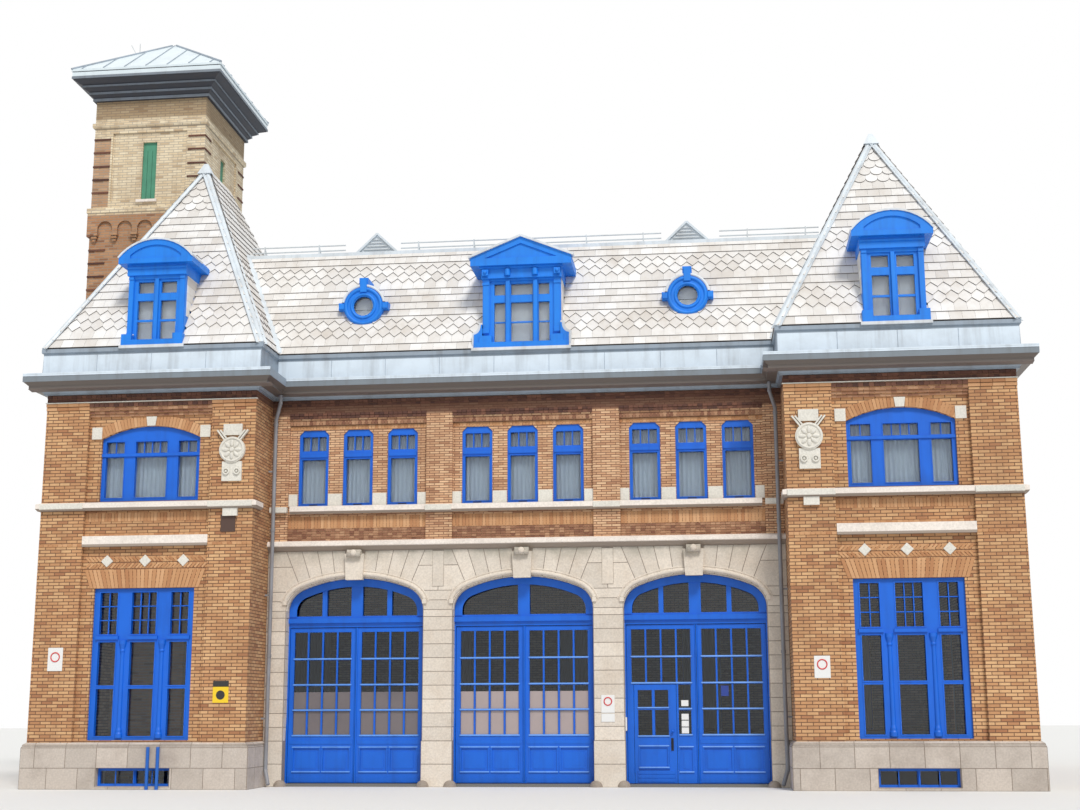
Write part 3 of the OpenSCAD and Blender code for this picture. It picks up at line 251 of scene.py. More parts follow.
pavilion_brick = brick_material(
    "pavilion_brick", ((0.70, 0.425, 0.215), (0.545, 0.28, 0.13), (0.37, 0.16, 0.075), (0.15, 0.075, 0.04)),
    course=0.074, length=0.25, joint=0.009, dark_from=8.755)
front_brick = brick_material(
    "front_brick", ((0.80, 0.53, 0.32), (0.61, 0.345, 0.195), (0.42, 0.21, 0.115), (0.20, 0.095, 0.055)),
    course=0.0575, length=0.23, joint=0.008, dark_from=8.57)


def dress(nodes, material):
    """Gives CAD nodes their material."""
    for node in nodes.split():
        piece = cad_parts[node]
        piece.data.materials.clear()
        piece.data.materials.append(material)


dress("left_pavilion_wall right_pavilion_wall return_walls left_side_wall right_side_wall rear_wall", pavilion_brick)
dress("upper_front_wall", front_brick)

# Ornamental brick courses
# Soldiers, headers, voussoirs and zigzags of single bricks, a few of them dark red, laid a little proud
# of the wall round the windows, in the friezes and under the cornice.
unit_block_bm = bmesh.new()
bmesh.ops.create_cube(unit_block_bm, size=1)
unit_block = mesh_of("unit_block", unit_block_bm)


def box(x0, x1, y0, y1, z0, z1):
    """The place that stretches the unit block from one corner to the other."""
    return (Matrix.Translation(((x0 + x1) / 2, (y0 + y1) / 2, (z0 + z1) / 2))
            @ Matrix.Diagonal((x1 - x0, y1 - y0, z1 - z0, 1)))


def block(x, half, y0, y1, z0, z1):
    """The place of a block that reaches half its width to each side of x."""
    return box(x - half, x + half, y0, y1, z0, z1)


def turned(place, angle, axis, size):
    """The place of a block of a size, turned about its own middle."""
    return Matrix.Translation(place) @ Matrix.Rotation(angle, 4, axis) @ Matrix.Diagonal((*size, 1))


def copies(pattern, places):
    """One bmesh that holds a copy of a small mesh at each place."""
    bm = bmesh.new()
    for place in places:
        pattern.transform(place)
        bm.from_mesh(pattern)
        pattern.transform(place.inverted())
    return bm


def give_tones(bm, faces_each, seed):
    """Gives each copy one tone from 0 to 1, which its material reads."""
    tones = bm.faces.layers.float.new("tone")
    drawn = random.Random(seed)
    level = 0.0
    for i, f in enumerate(bm.faces):
        if i % faces_each == 0:
            level = drawn.random()
        f[tones] = level


def set_up(name, bm, materials, body="building"):
    """Makes a bmesh an object with its materials, which rides on a body."""
    made = bpy.data.objects.new(name, mesh_of(name, bm))
    for material in materials:
        made.data.materials.append(material)
    bpy.context.collection.objects.link(made)
    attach(made, body)
    return made


def piece(name, bm, material, slot, body="building", bevel=0.0, smooth=False):
    """Turns a bmesh into a finished piece, its faces outwards and its edges broken by a small bevel."""
    if bevel:
        bmesh.ops.bevel(bm, geom=bm.edges[:], offset=bevel, affect="EDGES", segments=1, profile=0.5, material=-1)
    bmesh.ops.recalc_face_normals(bm, faces=bm.faces[:])
    made = set_up(name, bm, [material], body)
    if smooth:
        made.data.shade_smooth()
        made.data.set_sharp_from_angle(angle=radians(35))
    return made


def boxes(name, places, material, slot, body="building", bevel=0.0, seed=None):
    """A piece made of blocks, each with its own tone if a seed is given."""
    bm = copies(unit_block, places)
    if seed is not None:
        give_tones(bm, 6, seed)
    return piece(name, bm, material, slot, body, bevel)


def toned_material(name, dark, middle, light, roughness, grain=30.0, depth=0.003, dirt=None):
    """A finish whose pieces differ in tone: three colours mixed by the tone that each copy carries."""
    material = plain_material(name, middle, roughness)
    tree = material.node_tree
    carried = add(tree, "Attribute", attribute_name="tone").outputs["Fac"]
    colour = mix(tree, spread(tree, carried, 0.0, 0.4), dark, middle)
    colour = mix(tree, spread(tree, carried, 0.55, 1.0), colour, light)
    worn = place_group(tree, weather, Colour=colour, Dirt=dirt or dark, Blotches=0.5, Runs=0.25, Size=0.8)
    finish_with(material, Base_Color=worn["Colour"], Normal=bump(tree, noise(tree, grain, 4.0), 0.5, depth))
    return material


orange_bricks = toned_material("orange_bricks", (0.43, 0.20, 0.09), (0.54, 0.285, 0.135), (0.65, 0.38, 0.20), 0.85)
# Dark red bricks, their dark partly the brick's own and partly painted shade under the cornice; the same dark is
# painted shadow in the quoin grooves
dark_red_bricks_and_shade = toned_material("dark_red_bricks_and_shade", (0.065, 0.026, 0.019), (0.115, 0.045, 0.029),
                                 (0.19, 0.08, 0.048), 0.8)
# Brown bricks: real brown headers, and soldier and corbel courses browned as painted shade under projecting courses
brown_bricks_and_shade = toned_material("brown_bricks_and_shade", (0.20, 0.085, 0.05), (0.34, 0.17, 0.095), (0.50, 0.29, 0.17), 0.85)

pavilion_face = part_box("left_pavilion_wall")[0].y
pavilion_inner, pavilion_outer = [corner.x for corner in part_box("right_pavilion_wall")]
pavilion_middle = (pavilion_outer + pavilion_inner) / 2
pilaster = 1.04
field_x = (pavilion_inner + pilaster, pavilion_outer - pilaster)
field_face = pavilion_face + 0.10
bay_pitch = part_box("bay2_left_leaf")[0].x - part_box("bay1_left_leaf")[0].x
bays = (-bay_pitch, 0.0, bay_pitch)
soldier, header, stretcher = 0.078, 0.12, 0.24
proud, bedded, brick_joint = 0.012, 0.02, 0.010


def brick_row(x0, x1, z0, z1, face_y, width, out=proud):
    """A row of equal bricks that fills a stretch of wall, each width wide with its joint."""
    count = max(1, round((x1 - x0) / width))
    step = (x1 - x0) / count
    return [box(x0 + i * step + brick_joint / 2, x0 + (i + 1) * step - brick_joint / 2, face_y - out,
                face_y + bedded, z0 + brick_joint / 2, z1 - brick_joint / 2) for i in range(count)]


def both_sides(places):
    """The same places and their mirror images on the left half of the building."""
    flip = Matrix.Diagonal((-1, 1, 1, 1))
    return places + [flip @ p for p in places]


def arc(half, rise):
    """The radius of a low arch, and how far it turns to each side of upright."""
    radius = (half ** 2 + rise ** 2) / (2 * rise)
    return radius, atan2(half, radius - rise)


def fan(x, centre_z, reach, count, place):
    """Copies of a block fanned round an arch's centre."""
    return [Matrix.Translation((x, 0, centre_z)) @ Matrix.Rotation(-reach * (1 - (2 * i + 1) / count), 4, "Y")
            @ place for i in range(count)]


window_half, ground_head, arch_spring, arch_crown = 1.18, 4.44, 7.90, 8.19
head_half = window_half + 0.1
flat_arch = brick_row(pavilion_middle - head_half, pavilion_middle + head_half, ground_head, ground_head + 0.43,
                      field_face, 0.085)
soldiers = []
for i, place in enumerate(flat_arch):
    lean = 0.36 * ((2 * i + 1) / len(flat_arch) - 1)
    splay = Matrix(((1, 0, lean, -lean * ground_head), (0, 1, 0, 0), (0, 0, 1, 0), (0, 0, 0, 1)))
    soldiers.append(splay @ place)
soldiers += brick_row(*field_x, 5.97, 6.18, field_face, soldier) + brick_row(*field_x, 5.63, 5.70, field_face, header)
for x in (pavilion_inner, field_x[1]):
    soldiers += brick_row(x, x + pilaster, 5.39, 5.46, pavilion_face, header)
    for z, out in ((8.58, 0.02), (8.665, 0.04)):
        soldiers += brick_row(x - 0.01, x + pilaster + 0.01, z, z + 0.08, pavilion_face, stretcher, out)
arch_radius, arch_reach = arc(window_half, arch_crown - arch_spring)
soldiers += fan(pavilion_middle, arch_crown - arch_radius, arch_reach,
                int(2 * arch_reach * (arch_radius + 0.2) / soldier),
                block(0, 0.034, field_face - proud, field_face + bedded, arch_radius + 0.005, arch_radius + 0.25))
boxes("pavilion_soldier_courses", both_sides(soldiers), orange_bricks, "brick", seed=1)

zig, zig_brick = 0.086, (0.046, proud + bedded, 0.15)
zigzag = [turned((field_x[0] + (i + 1) * zig, field_face + (bedded - proud) / 2, z), radians(lean), "Y", zig_brick)
          for z, lean in ((4.955, -45), (5.105, 45)) for i in range(int((field_x[1] - field_x[0]) / zig) - 1)]
boxes("herringbone_friezes", both_sides(zigzag), orange_bricks, "brick", seed=2)

front_soldiers, front_headers, shaded_browns, reds = [], [], [], []
thin_course, front_field, small_header = 0.0575, 0.08, 0.115
field_half, front_end = 1.65, 5.99
for bay in bays:
    stretch = (bay - field_half, bay + field_half)
    front_soldiers += brick_row(*stretch, 5.88, 6.17, front_field, soldier)
    for k in range(5):
        front_headers += brick_row(*stretch, 5.585 + k * thin_course, 5.585 + (k + 1) * thin_course, front_field,
                                   small_header, 0.016)
    front_soldiers += brick_row(*stretch, 8.238, 8.335, front_field, soldier)
    # The brown soldier band under the corbels is painted shade of the projecting courses above
    shaded_browns += brick_row(*stretch, 8.345, 8.475, 0.025, soldier, 0.006)
    for z, out in ((8.49, 0.03), (8.56, 0.04)):
        reds += brick_row(*stretch, z, z + 0.07, 0.0, small_header, out)
# Dark red courses under the cornice: dark brick, darkened further as painted shade
for z, out in ((8.80, 0.012), (8.87, 0.03)):
    reds += brick_row(-front_end, front_end, z, z + 0.06, 0.0, small_header, out)
boxes("front_soldier_courses", front_soldiers, orange_bricks, "brick", seed=3)

# The brown corbel steps of the pavilions are painted shade under the cornice
for k, sunk in enumerate((0.066, 0.033, 0.0)):
    shaded_browns += both_sides(brick_row(*field_x, 8.42 + k * 0.07, 8.49 + k * 0.07, pavilion_face + sunk, header, 0.008))
# The pavilions' dark red courses under the cornice: dark brick, darkened further as painted shade
pavilion_reds = brick_row(*field_x, 8.64, 8.735, pavilion_face, header, 0.03)
for k in range(2):
    pavilion_reds += brick_row(pavilion_inner, pavilion_outer, 8.78 + 0.085 * k, 8.85 + 0.085 * k, pavilion_face,
                               header, 0.012 + 0.014 * k)
boxes("dark_red_courses", reds + both_sides(pavilion_reds), dark_red_bricks_and_shade, "brick", seed=4)
boxes("brown_courses", shaded_browns + front_headers, brown_bricks_and_shade, "brick", seed=5)

# Stone arcade
# The piers and arches are dressed limestone in courses of about 310 mm, with radial voussoirs over the bays.
# Each stone is a thin facing on the solid arcade, with sunk joints, and the plinths are coarser grey stone.
stone, stone_in, stone_out = node_group(
    "dressed_stone", ("Colour", "Stain"), ("Staining",), Colour="Color", Height="Float")
stained = maths(stone, "MULTIPLY", spread(stone, noise(stone, 1.1, 7.0, 0.68), 0.45, 0.78), stone_in["Staining"])
pores = noise(stone, 24.0, 4.0, 0.6)
specked = tint_by(stone, mix(stone, stained, stone_in["Colour"], stone_in["Stain"]),
                  spread(stone, pores, 0.35, 0.7, 0.86, 1.06))
give_out(stone, stone_out, Colour=specked, Height=pores)


def stone_material(name, colour, stain, staining=0.5, tint=0.0, soot=None):
    """Dressed stone; tint lets each stone's own tone change it, and soot darkens it above a height."""
    material = plain_material(name, colour, 0.8)
    tree = material.node_tree
    dressed = place_group(tree, stone, Colour=colour, Stain=stain, Staining=staining)
    shade = dressed["Colour"]
    if tint:
        carried = add(tree, "Attribute", attribute_name="tone").outputs["Fac"]
        shade = tint_by(tree, shade, spread(tree, carried, 0.0, 1.0, 1 - tint, 1 + tint * 0.4))
    if soot:
        low, high, soot_colour, amount = soot
        band = spread(tree, axes(tree)["Z"], low, high, interpolation_type="SMOOTHSTEP")
        ragged = spread(tree, noise(tree, 2.2, 5.0), 0.35, 0.65, 0.2, amount)
        shade = mix(tree, maths(tree, "MULTIPLY", band, ragged), shade, soot_colour)
    finish_with(material, Base_Color=shade, Normal=bump(tree, dressed["Height"], 0.5, 0.004))
    return material


limestone = stone_material("limestone", (0.74, 0.66, 0.57), (0.47, 0.37, 0.27), 0.55)
arcade_stone = stone_material("arcade_stone", (0.75, 0.67, 0.58), (0.50, 0.38, 0.27), 0.5, tint=0.11,
                              soot=(4.95, 5.35, (0.30, 0.29, 0.24), 0.75))
joint_mortar = stone_material("joint_mortar", (0.33, 0.275, 0.23), (0.20, 0.165, 0.135), 0.5)
plinth_stone = stone_material("plinth_stone", (0.58, 0.51, 0.45), (0.30, 0.24, 0.20), 0.65, tint=0.15)
carved_stone = stone_material("carved_stone", (0.76, 0.73, 0.66), (0.50, 0.46, 0.40), 0.4)
ledge_stone = stone_material("ledge_stone", (0.88, 0.80, 0.73), (0.46, 0.39, 0.33), 0.4)


def second_colour_band(material, axis, low, high, colour):
    """Colours the band of a piece between two measures along an axis in a second colour, used for a second coat of
    paint and for painted shade.
    """
    tree = material.node_tree
    place = axes(tree)[axis]
    inside = maths(tree, "MULTIPLY", maths(tree, "GREATER_THAN", place, low), maths(tree, "LESS_THAN", place, high))
    first = tree.nodes["Principled BSDF"].inputs["Base Color"].links[0].from_socket
    finish_with(material, Base_Color=mix(tree, inside, first, colour))


# Darker lower mouldings on the ledges: painted shade under the projecting stone, with some staining
for low, high in ((5.34, 5.445), (6.20, 6.275)):
    second_colour_band(ledge_stone, "Z", low, high, (0.34, 0.28, 0.235))
dress("arcade_piers arcade_arches", joint_mortar)
dress("arch_mouldings", limestone)
dress("string_course sill_course", ledge_stone)
dress("window_stones", carved_stone)
dress("medallions", carved_stone)
dress("pavilion_plinths", joint_mortar)
dress("rear_plinths", plinth_stone)


def skin_of(node, keep):
    """A copy of the faces of a CAD node that keep() chooses, still in triangles."""
    bm = bmesh.new()
    bm.from_mesh(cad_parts[node].data)
    bmesh.ops.remove_doubles(bm, verts=bm.verts[:], dist=0.0005)
    bm.normal_update()
    bmesh.ops.delete(bm, geom=[f for f in bm.faces if not keep(f)], context="FACES")
    return bm


def cut_skin(bm, point, direction, chosen=None):
    """Cuts a joint line through the faces whose middles chosen() accepts."""
    faces = [f for f in bm.faces if chosen is None or chosen(f.calc_center_median())]
    edges = {e for f in faces for e in f.edges}
    verts = {v for f in faces for v in f.verts}
    cut = bmesh.ops.bisect_plane(bm, geom=list(verts) + list(edges) + faces, dist=0.0002, plane_co=point,
                                 plane_no=direction)
    for e in cut["geom_cut"]:
        if isinstance(e, bmesh.types.BMEdge):
            e.seam = True


def join_flat(bm):
    """Joins the triangles of each flat face up to its joint lines."""
    bmesh.ops.dissolve_limit(bm, angle_limit=radians(2), verts=bm.verts[:], edges=bm.edges[:], delimit={"SEAM"})


def raise_stones(bm, name, material, seed, joint=0.008, out=0.008):
    """Parts the cut faces into stones and raises each one, with chamfered edges down to the joints."""
    bmesh.ops.split_edges(bm, edges=bm.edges[:])
    slivers = [f for f in bm.faces if 2 * f.calc_area() < 1.5 * joint * f.calc_perimeter()]
    bmesh.ops.delete(bm, geom=slivers, context="FACES")
    stones = bm.faces[:]
    edges = bmesh.ops.inset_individual(bm, faces=stones, thickness=joint, depth=out, use_even_offset=True)
    for f in edges["faces"]:
        f.material_index = 1 if joint else 0
    longest = 3 * max(joint, out)
    for stone_face in stones:
        for v in stone_face.verts:
            for corner in [e.other_vert(v) for e in v.link_edges]:
                run = v.co - corner.co
                if corner not in stone_face.verts[:] and run.length > longest:
                    v.co = corner.co + run * (longest / run.length)
    tones = bm.faces.layers.float.new("tone")
    island = bm.faces.layers.int.new("island")
    drawn = random.Random(seed)
    count = 0
    for first in bm.faces:
        if first[island]:
            continue
        count += 1
        level, reached = drawn.random(), [first]
        while reached:
            f = reached.pop()
            if not f[island]:
                f[island] = count
                f[tones] = level
                reached += [n for e in f.edges for n in e.link_faces if not n[island]]
    set_up(name, bm, [material, joint_mortar] if joint else [material])


pier_course, first_joint, spring = 0.31, 1.01, 3.96
piers = skin_of("arcade_piers", lambda f: f.normal.y < -0.9 and max(v.co.z for v in f.verts) > 0.3
                or abs(f.normal.x) > 0.9 and min(v.co.z for v in f.verts) > 0.98)
cut_skin(piers, (0, 0, 0.5), (0, 0, 1))


def front_stretches(height):
    """The stretches in X that the pier fronts cover at a height, each with its Y."""
    found = []
    for f in sorted(piers.faces, key=lambda f: min(v.co.x for v in f.verts)):
        heights, across = [v.co.z for v in f.verts], [v.co.x for v in f.verts]
        if f.normal.y < -0.9 and min(heights) < height < max(heights):
            y = f.verts[0].co.y
            if found and min(across) <= found[-1][1] + 0.001 and abs(y - found[-1][2]) < 0.005:
                found[-1][1] = max(found[-1][1], *across)
            else:
                found.append([min(across), max(across), y])
    return found


plain_fronts = [(0.0, 0.5, front_stretches(0.3)), (0.5, first_joint, front_stretches(0.75)),
                (first_joint, spring, front_stretches(2.0))]
bmesh.ops.delete(piers, geom=[f for f in piers.faces if f.normal.y < -0.9], context="FACES")
for z0, z1, stretches in plain_fronts:
    for x0, x1, y in stretches:
        piers.faces.new([piers.verts.new(p) for p in ((x0, y, z0), (x1, y, z0), (x1, y, z1), (x0, y, z1))])
piers.normal_update()
course_z = first_joint
while course_z < spring - 0.1:
    cut_skin(piers, (0, 0, course_z), (0, 0, 1))
    course_z += pier_course
join_flat(piers)
raise_stones(piers, "pier_stones", arcade_stone, 11)

# The face of each arch: long voussoirs fan out from the flat curve to the string course, a haunch stone and a
# spandrel block fill each side up to the strip, and two courses of wide stones stand on each pier.
flat_radius, flat_centre = 3.304, 1.42
haunch_radius, haunch_x, haunch_z = 0.564, 1.06, 3.9468
flat_reach = atan2(haunch_x, 2.5268)
stone_top, block_foot, haunch_foot, course_joint, strip_foot = 5.345, 4.98, 4.40, 4.18, 4.5
voussoir_joints = [radians(8), radians(13), radians(18), flat_reach]


def flat_points(first, last):
    """Points along the flat part of the arch's curve between two leans from upright."""
    leans = [first + (last - first) * k / 3 for k in range(4)]
    return [(flat_radius * sin(a), flat_centre + flat_radius * cos(a)) for a in leans]


def haunch_points(low, high):
    """Points up the tight part of the curve between two heights."""
    first, last = asin((low - haunch_z) / haunch_radius), asin((high - haunch_z) / haunch_radius)
    turns = [first + (last - first) * k / 4 for k in range(5)]
    return [(haunch_x + haunch_radius * cos(t), haunch_z + haunch_radius * sin(t)) for t in turns]


def joint_x(lean, height):
    """How far from the bay's middle a leaning joint is at a height."""
    return (height - flat_centre) * tan(lean)


arches = bmesh.new()


def lay_stone(outline):
    """Adds one flat stone, its outline given against the clock as X and Z."""
    arches.faces.new([arches.verts.new((x, 0, z)) for x, z in outline])


for bay in bays:
    for side in (-1, 1):
        at_end = abs(bay + side) > bays[2]
        edge, low_edge = (2.08, 2.08) if at_end else (1.835, 1.96)
        outlines = [flat_points(asin(0.165 / flat_radius), voussoir_joints[0])
                    + [(joint_x(voussoir_joints[0], stone_top), stone_top), (0.238, stone_top)]]
        for first, last in zip(voussoir_joints, voussoir_joints[1:]):
            outlines.append(flat_points(first, last) + [(joint_x(a, stone_top), stone_top) for a in (last, first)])
        block_x = joint_x(flat_reach, block_foot)
        outlines.append([(block_x, block_foot), (edge, block_foot), (edge, stone_top),
                         (joint_x(flat_reach, stone_top), stone_top)])
        end_z = flat_centre + flat_radius * cos(flat_reach)
        outlines.append(haunch_points(haunch_foot, end_z)[::-1]
                        + [(low_edge, haunch_foot), (low_edge, strip_foot), (edge, strip_foot), (edge, block_foot),
                           (block_x, block_foot)])
        for outline in outlines:
            lay_stone([(bay + side * x, z) for x, z in outline[::side]])
for low, high in ((spring, course_joint), (course_joint, haunch_foot)):
    curve = haunch_points(low, high)
    for left, right in ((None, bays[0]), (bays[0], bays[1]), (bays[1], bays[2]), (bays[2], None)):
        left_edge = [(-6.0, high), (-6.0, low)] if left is None else [(left + x, z) for x, z in curve[::-1]]
        right_edge = [(6.0, low), (6.0, high)] if right is None else [(right - x, z) for x, z in curve]
        lay_stone(right_edge + left_edge)
arches.normal_update()
raise_stones(arches, "arch_stones", arcade_stone, 12)
intrados = skin_of("arcade_arches", lambda f: f.normal.z < -0.05 and min(v.co.y for v in f.verts) > -0.01
                   and f.calc_center_median().y > 0.05)
join_flat(intrados)
raise_stones(intrados, "arch_soffits", arcade_stone, 13, joint=0.0, out=0.004)
keystones = skin_of("arcade_arches", lambda f: min(v.co.y for v in f.verts) < -0.012 and f.calc_center_median().y < 0)
join_flat(keystones)
raise_stones(keystones, "keystone_faces", arcade_stone, 14, joint=0.0, out=0.002)

plinths = skin_of("pavilion_plinths", lambda f: f.normal.z > -0.5 and f.calc_center_median().y < 0.1)
for z in (0.46, 0.90):
    cut_skin(plinths, (0, 0, z), (0, 0, 1))
for k in range(-16, 17):
    cut_skin(plinths, (0.72 * k + 0.3, 0, 0), (1, 0, 0), lambda c: c.z < 0.46 and c.y < pavilion_face)
    cut_skin(plinths, (0.72 * k, 0, 0), (1, 0, 0), lambda c: c.z > 0.46 and c.y < pavilion_face)
join_flat(plinths)
raise_stones(plinths, "plinth_stones", plinth_stone, 15)

# Loose stone details
# Small limestone pieces set on the walls: diamonds in the friezes, bands beside the sills and a ledge over the
# friezes, round bosses on the keystones, and a rosette, scrolls and ribbons on each medallion.
details = [turned((x, field_face - 0.0075, 5.06), pi / 4, "Y", (0.2, 0.055, 0.2))
           for x in (pavilion_middle - 0.9, pavilion_middle, pavilion_middle + 0.9)]
details += [box(x, x + pilaster, pavilion_face - 0.135, pavilion_face + bedded, 6.25, 6.38)
            for x in (pavilion_inner, field_x[1])]
details.append(box(pavilion_inner - 0.03, pavilion_outer + 0.03, pavilion_face - 0.055, pavilion_face + bedded, 8.748,
                   8.772))
details += [box(x0, x1, -0.135, bedded, 6.25, 6.38) for x0, x1 in ((1.65, 2.27), (5.57, 5.98))]
boxes("set_stones", both_sides(details), carved_stone, "carved_stone", bevel=0.008)

to_street = Matrix.Rotation(pi / 2, 4, "X")
bosses = bmesh.new()
for bay in bays:
    place = Matrix.Translation((bay, -0.235, 5.275)) @ to_street @ Matrix.Diagonal((1, 1, 0.5, 1))
    bmesh.ops.create_uvsphere(bosses, u_segments=20, v_segments=10, radius=0.075, matrix=place)
piece("keystone_bosses", bosses, limestone, "limestone", smooth=True)


def add_ring(bm, middle, radius, thick, sides, steps):
    """Adds a round ring that faces the street."""
    middle = Vector(middle)
    circle = bmesh.ops.create_circle(bm, segments=sides, radius=thick,
                                     matrix=Matrix.Translation(middle + Vector((radius, 0, 0))))["verts"]
    bmesh.ops.spin(bm, geom=circle + list({e for v in circle for e in v.link_edges}), cent=middle, axis=(0, 1, 0),
                   angle=2 * pi, steps=steps, use_merge=True)


rosettes = bmesh.new()
for sign in (-1, 1):
    x = sign * (pavilion_inner + pilaster / 2)
    hub = Matrix.Translation((x, pavilion_face - 0.105, 7.56)) @ to_street
    bmesh.ops.create_cone(rosettes, cap_ends=True, segments=24, radius1=0.07, radius2=0.04, depth=0.05, matrix=hub)
    for k in range(8):
        petal = (Matrix.Translation((x, pavilion_face - 0.095, 7.56)) @ to_street @ Matrix.Rotation(k * pi / 4, 4, "Z")
                 @ Matrix.Translation((0.145, 0, 0)) @ Matrix.Diagonal((0.085, 0.045, 0.03, 1)))
        bmesh.ops.create_uvsphere(rosettes, u_segments=12, v_segments=8, radius=1, matrix=petal)
    add_ring(rosettes, (x, pavilion_face - 0.09, 7.56), 0.262, 0.022, 12, 40)
    for k in (-1, 1):
        scroll = (x + k * 0.125, pavilion_face - 0.085, 7.06)
        add_ring(rosettes, scroll, 0.065, 0.018, 8, 24)
        bmesh.ops.create_uvsphere(rosettes, u_segments=10, v_segments=6, radius=0.028,
                                  matrix=Matrix.Translation(scroll))
        for inward in (0.0, 0.07):
            ribbon = turned((x + k * (0.27 - inward), pavilion_face - 0.05, 7.90), k * radians(38), "Y",
                            (0.035, 0.07, 0.30))
            bmesh.ops.create_cube(rosettes, size=1, matrix=ribbon)
piece("medallion_rosettes", rosettes, carved_stone, "carved_stone", smooth=True)

# Cornices and gutters
# Painted sheet metal and boards: a bed mould, a deep gutter and a pale attic fascia, stepped at the pilasters.
def painted(name, colour, roughness=0.45, dirt=(0.12, 0.11, 0.10), blotches=0.25, streaks=0.35):
    """Paint or bare sheet metal with dirt and runs over it."""
    material = plain_material(name, colour, roughness)
    worn = place_group(material.node_tree, weather, Colour=colour, Dirt=dirt, Blotches=blotches, Runs=streaks,
                       Size=1.2)
    finish_with(material, Base_Color=worn["Colour"])
    return material


cornice_metal = painted("cornice_metal", (0.30, 0.36, 0.43))
# The cornice's soffit band is dark brown: its brown paint darkened as painted shade under the gutter
second_colour_band(cornice_metal, "Z", 9.03, 9.205, (0.15, 0.125, 0.11))
gutter_metal = painted("gutter_metal", (0.20, 0.235, 0.27), 0.5)
fascia_paint = painted("fascia_paint", (0.69, 0.78, 0.87), 0.5, (0.25, 0.26, 0.27))
# The soffit boards are dark: brown paint with painted shade under the gutter
shaded_soffit_paint = painted("shaded_soffit_paint", (0.20, 0.165, 0.15), 0.7, (0.10, 0.08, 0.07))
dress("pavilion_cornices centre_cornice rear_cornice", cornice_metal)
gutters, lips, soffits, fascia = [], [], [], []
for x0, x1, wall_y in ((-5.56, 5.56, 0.0), (5.565, 11.475, pavilion_face), (-11.475, -5.565, pavilion_face)):
    y = wall_y - 0.436
    gutters.append(box(x0, x1, y - 0.004, y + bedded, 9.205, 9.33))
    lips.append(box(x0, x1, y - 0.012, y + bedded, 9.335, 9.40))
boxes("gutter_fronts", gutters, gutter_metal, "grey_metal")
for x0, x1, wall_y in ((-5.87, 5.87, 0.0), (5.90, 11.15, pavilion_face), (-11.15, -5.90, pavilion_face)):
    y = wall_y - 0.118
    count = round((x1 - x0) / 1.3)
    step = (x1 - x0) / count
    fascia += [box(x0 + i * step + 0.004, x0 + (i + 1) * step - 0.004, y - 0.006, y + bedded, 9.47, 9.88)
               for i in range(count)]
boxes("attic_fascia_panels", fascia, fascia_paint, "grey_metal", bevel=0.006)
for x0, x1, wall_y in ((-5.56, 5.56, 0.0), (5.57, 11.38, pavilion_face), (-11.38, -5.57, pavilion_face)):
    soffits.append(turned(((x0 + x1) / 2, wall_y - 0.22, 9.042), -0.135, "X", (x1 - x0, 0.215, 0.008)))
    lips.append(box(x0, x1 + (0.09 if x1 > 6 else 0), wall_y - 0.452, wall_y - 0.43, 9.375, 9.405))
boxes("cornice_soffits", soffits, shaded_soffit_paint, "grey_metal")
boxes("gutter_lips", lips, fascia_paint, "grey_metal")

# Slate roofs
# Pale grey slates about 280 mm wide are nailed in rows, squared, pointed as diamonds or scalloped in bands.
# Each slate overlaps the row below, and metal caps cover the hips, the ridges and the top edge.
slates = toned_material("slates", (0.66, 0.63, 0.60), (0.77, 0.75, 0.73), (0.85, 0.84, 0.83), 0.6, 18.0, 0.003,
                        dirt=(0.52, 0.45, 0.38))
# The dark under the slates, in their gaps and on their edges, is painted shade
under_slates_shade = plain_material("under_slates_shade", (0.16, 0.14, 0.13), 0.9)
flashing_metal = painted("flashing_metal", (0.68, 0.74, 0.79), 0.4, (0.28, 0.27, 0.26), 0.3, 0.3)
dress("front_mansard rear_mansards left_pavilion_roof right_pavilion_roof", under_slates_shade)
dress("roof_deck", flashing_metal)

slate_width, slate_thick, slate_lift, slate_gap = 0.28, 0.020, 0.040, 0.003


def thicken(bm, face, offset):
    """Makes a flat face a plate by an offset."""
    risen = bmesh.ops.extrude_face_region(bm, geom=[face])
    bmesh.ops.translate(bm, vec=offset, verts=[v for v in risen["geom"] if isinstance(v, bmesh.types.BMVert)])


def slate_pattern(kind, height):
    """One slate that hangs from above the next row: its foot is straight, pointed or half round."""
    half = (slate_width - slate_gap) / 2
    top = 1.9 * height
    foot = [(-half, 0), (half, 0)]
    if kind == "diamond":
        foot = [(-half, 0.155), (0, 0), (half, 0.155)]
    elif kind == "scallop":
        foot = [(half * sin(lean), half * (1 - cos(lean))) for lean in (radians(-90 + 22.5 * i) for i in range(9))]
    bm = bmesh.new()
    corners = [(x, y, 0.004 + slate_lift * (1 - y / top)) for x, y in foot + [(half, top), (-half, top)]]
    thicken(bm, bm.faces.new([bm.verts.new(corner) for corner in corners]), (0, 0, slate_thick))
    bmesh.ops.recalc_face_normals(bm, faces=bm.faces[:])
    # The edge faces take the second, dark material: painted shade under each slate's lower edge
    for f in bm.faces:
        f.material_index = 0 if len(f.verts) > 4 or abs(f.normal.z) > 0.7 else 1
    return mesh_of(kind, bm)


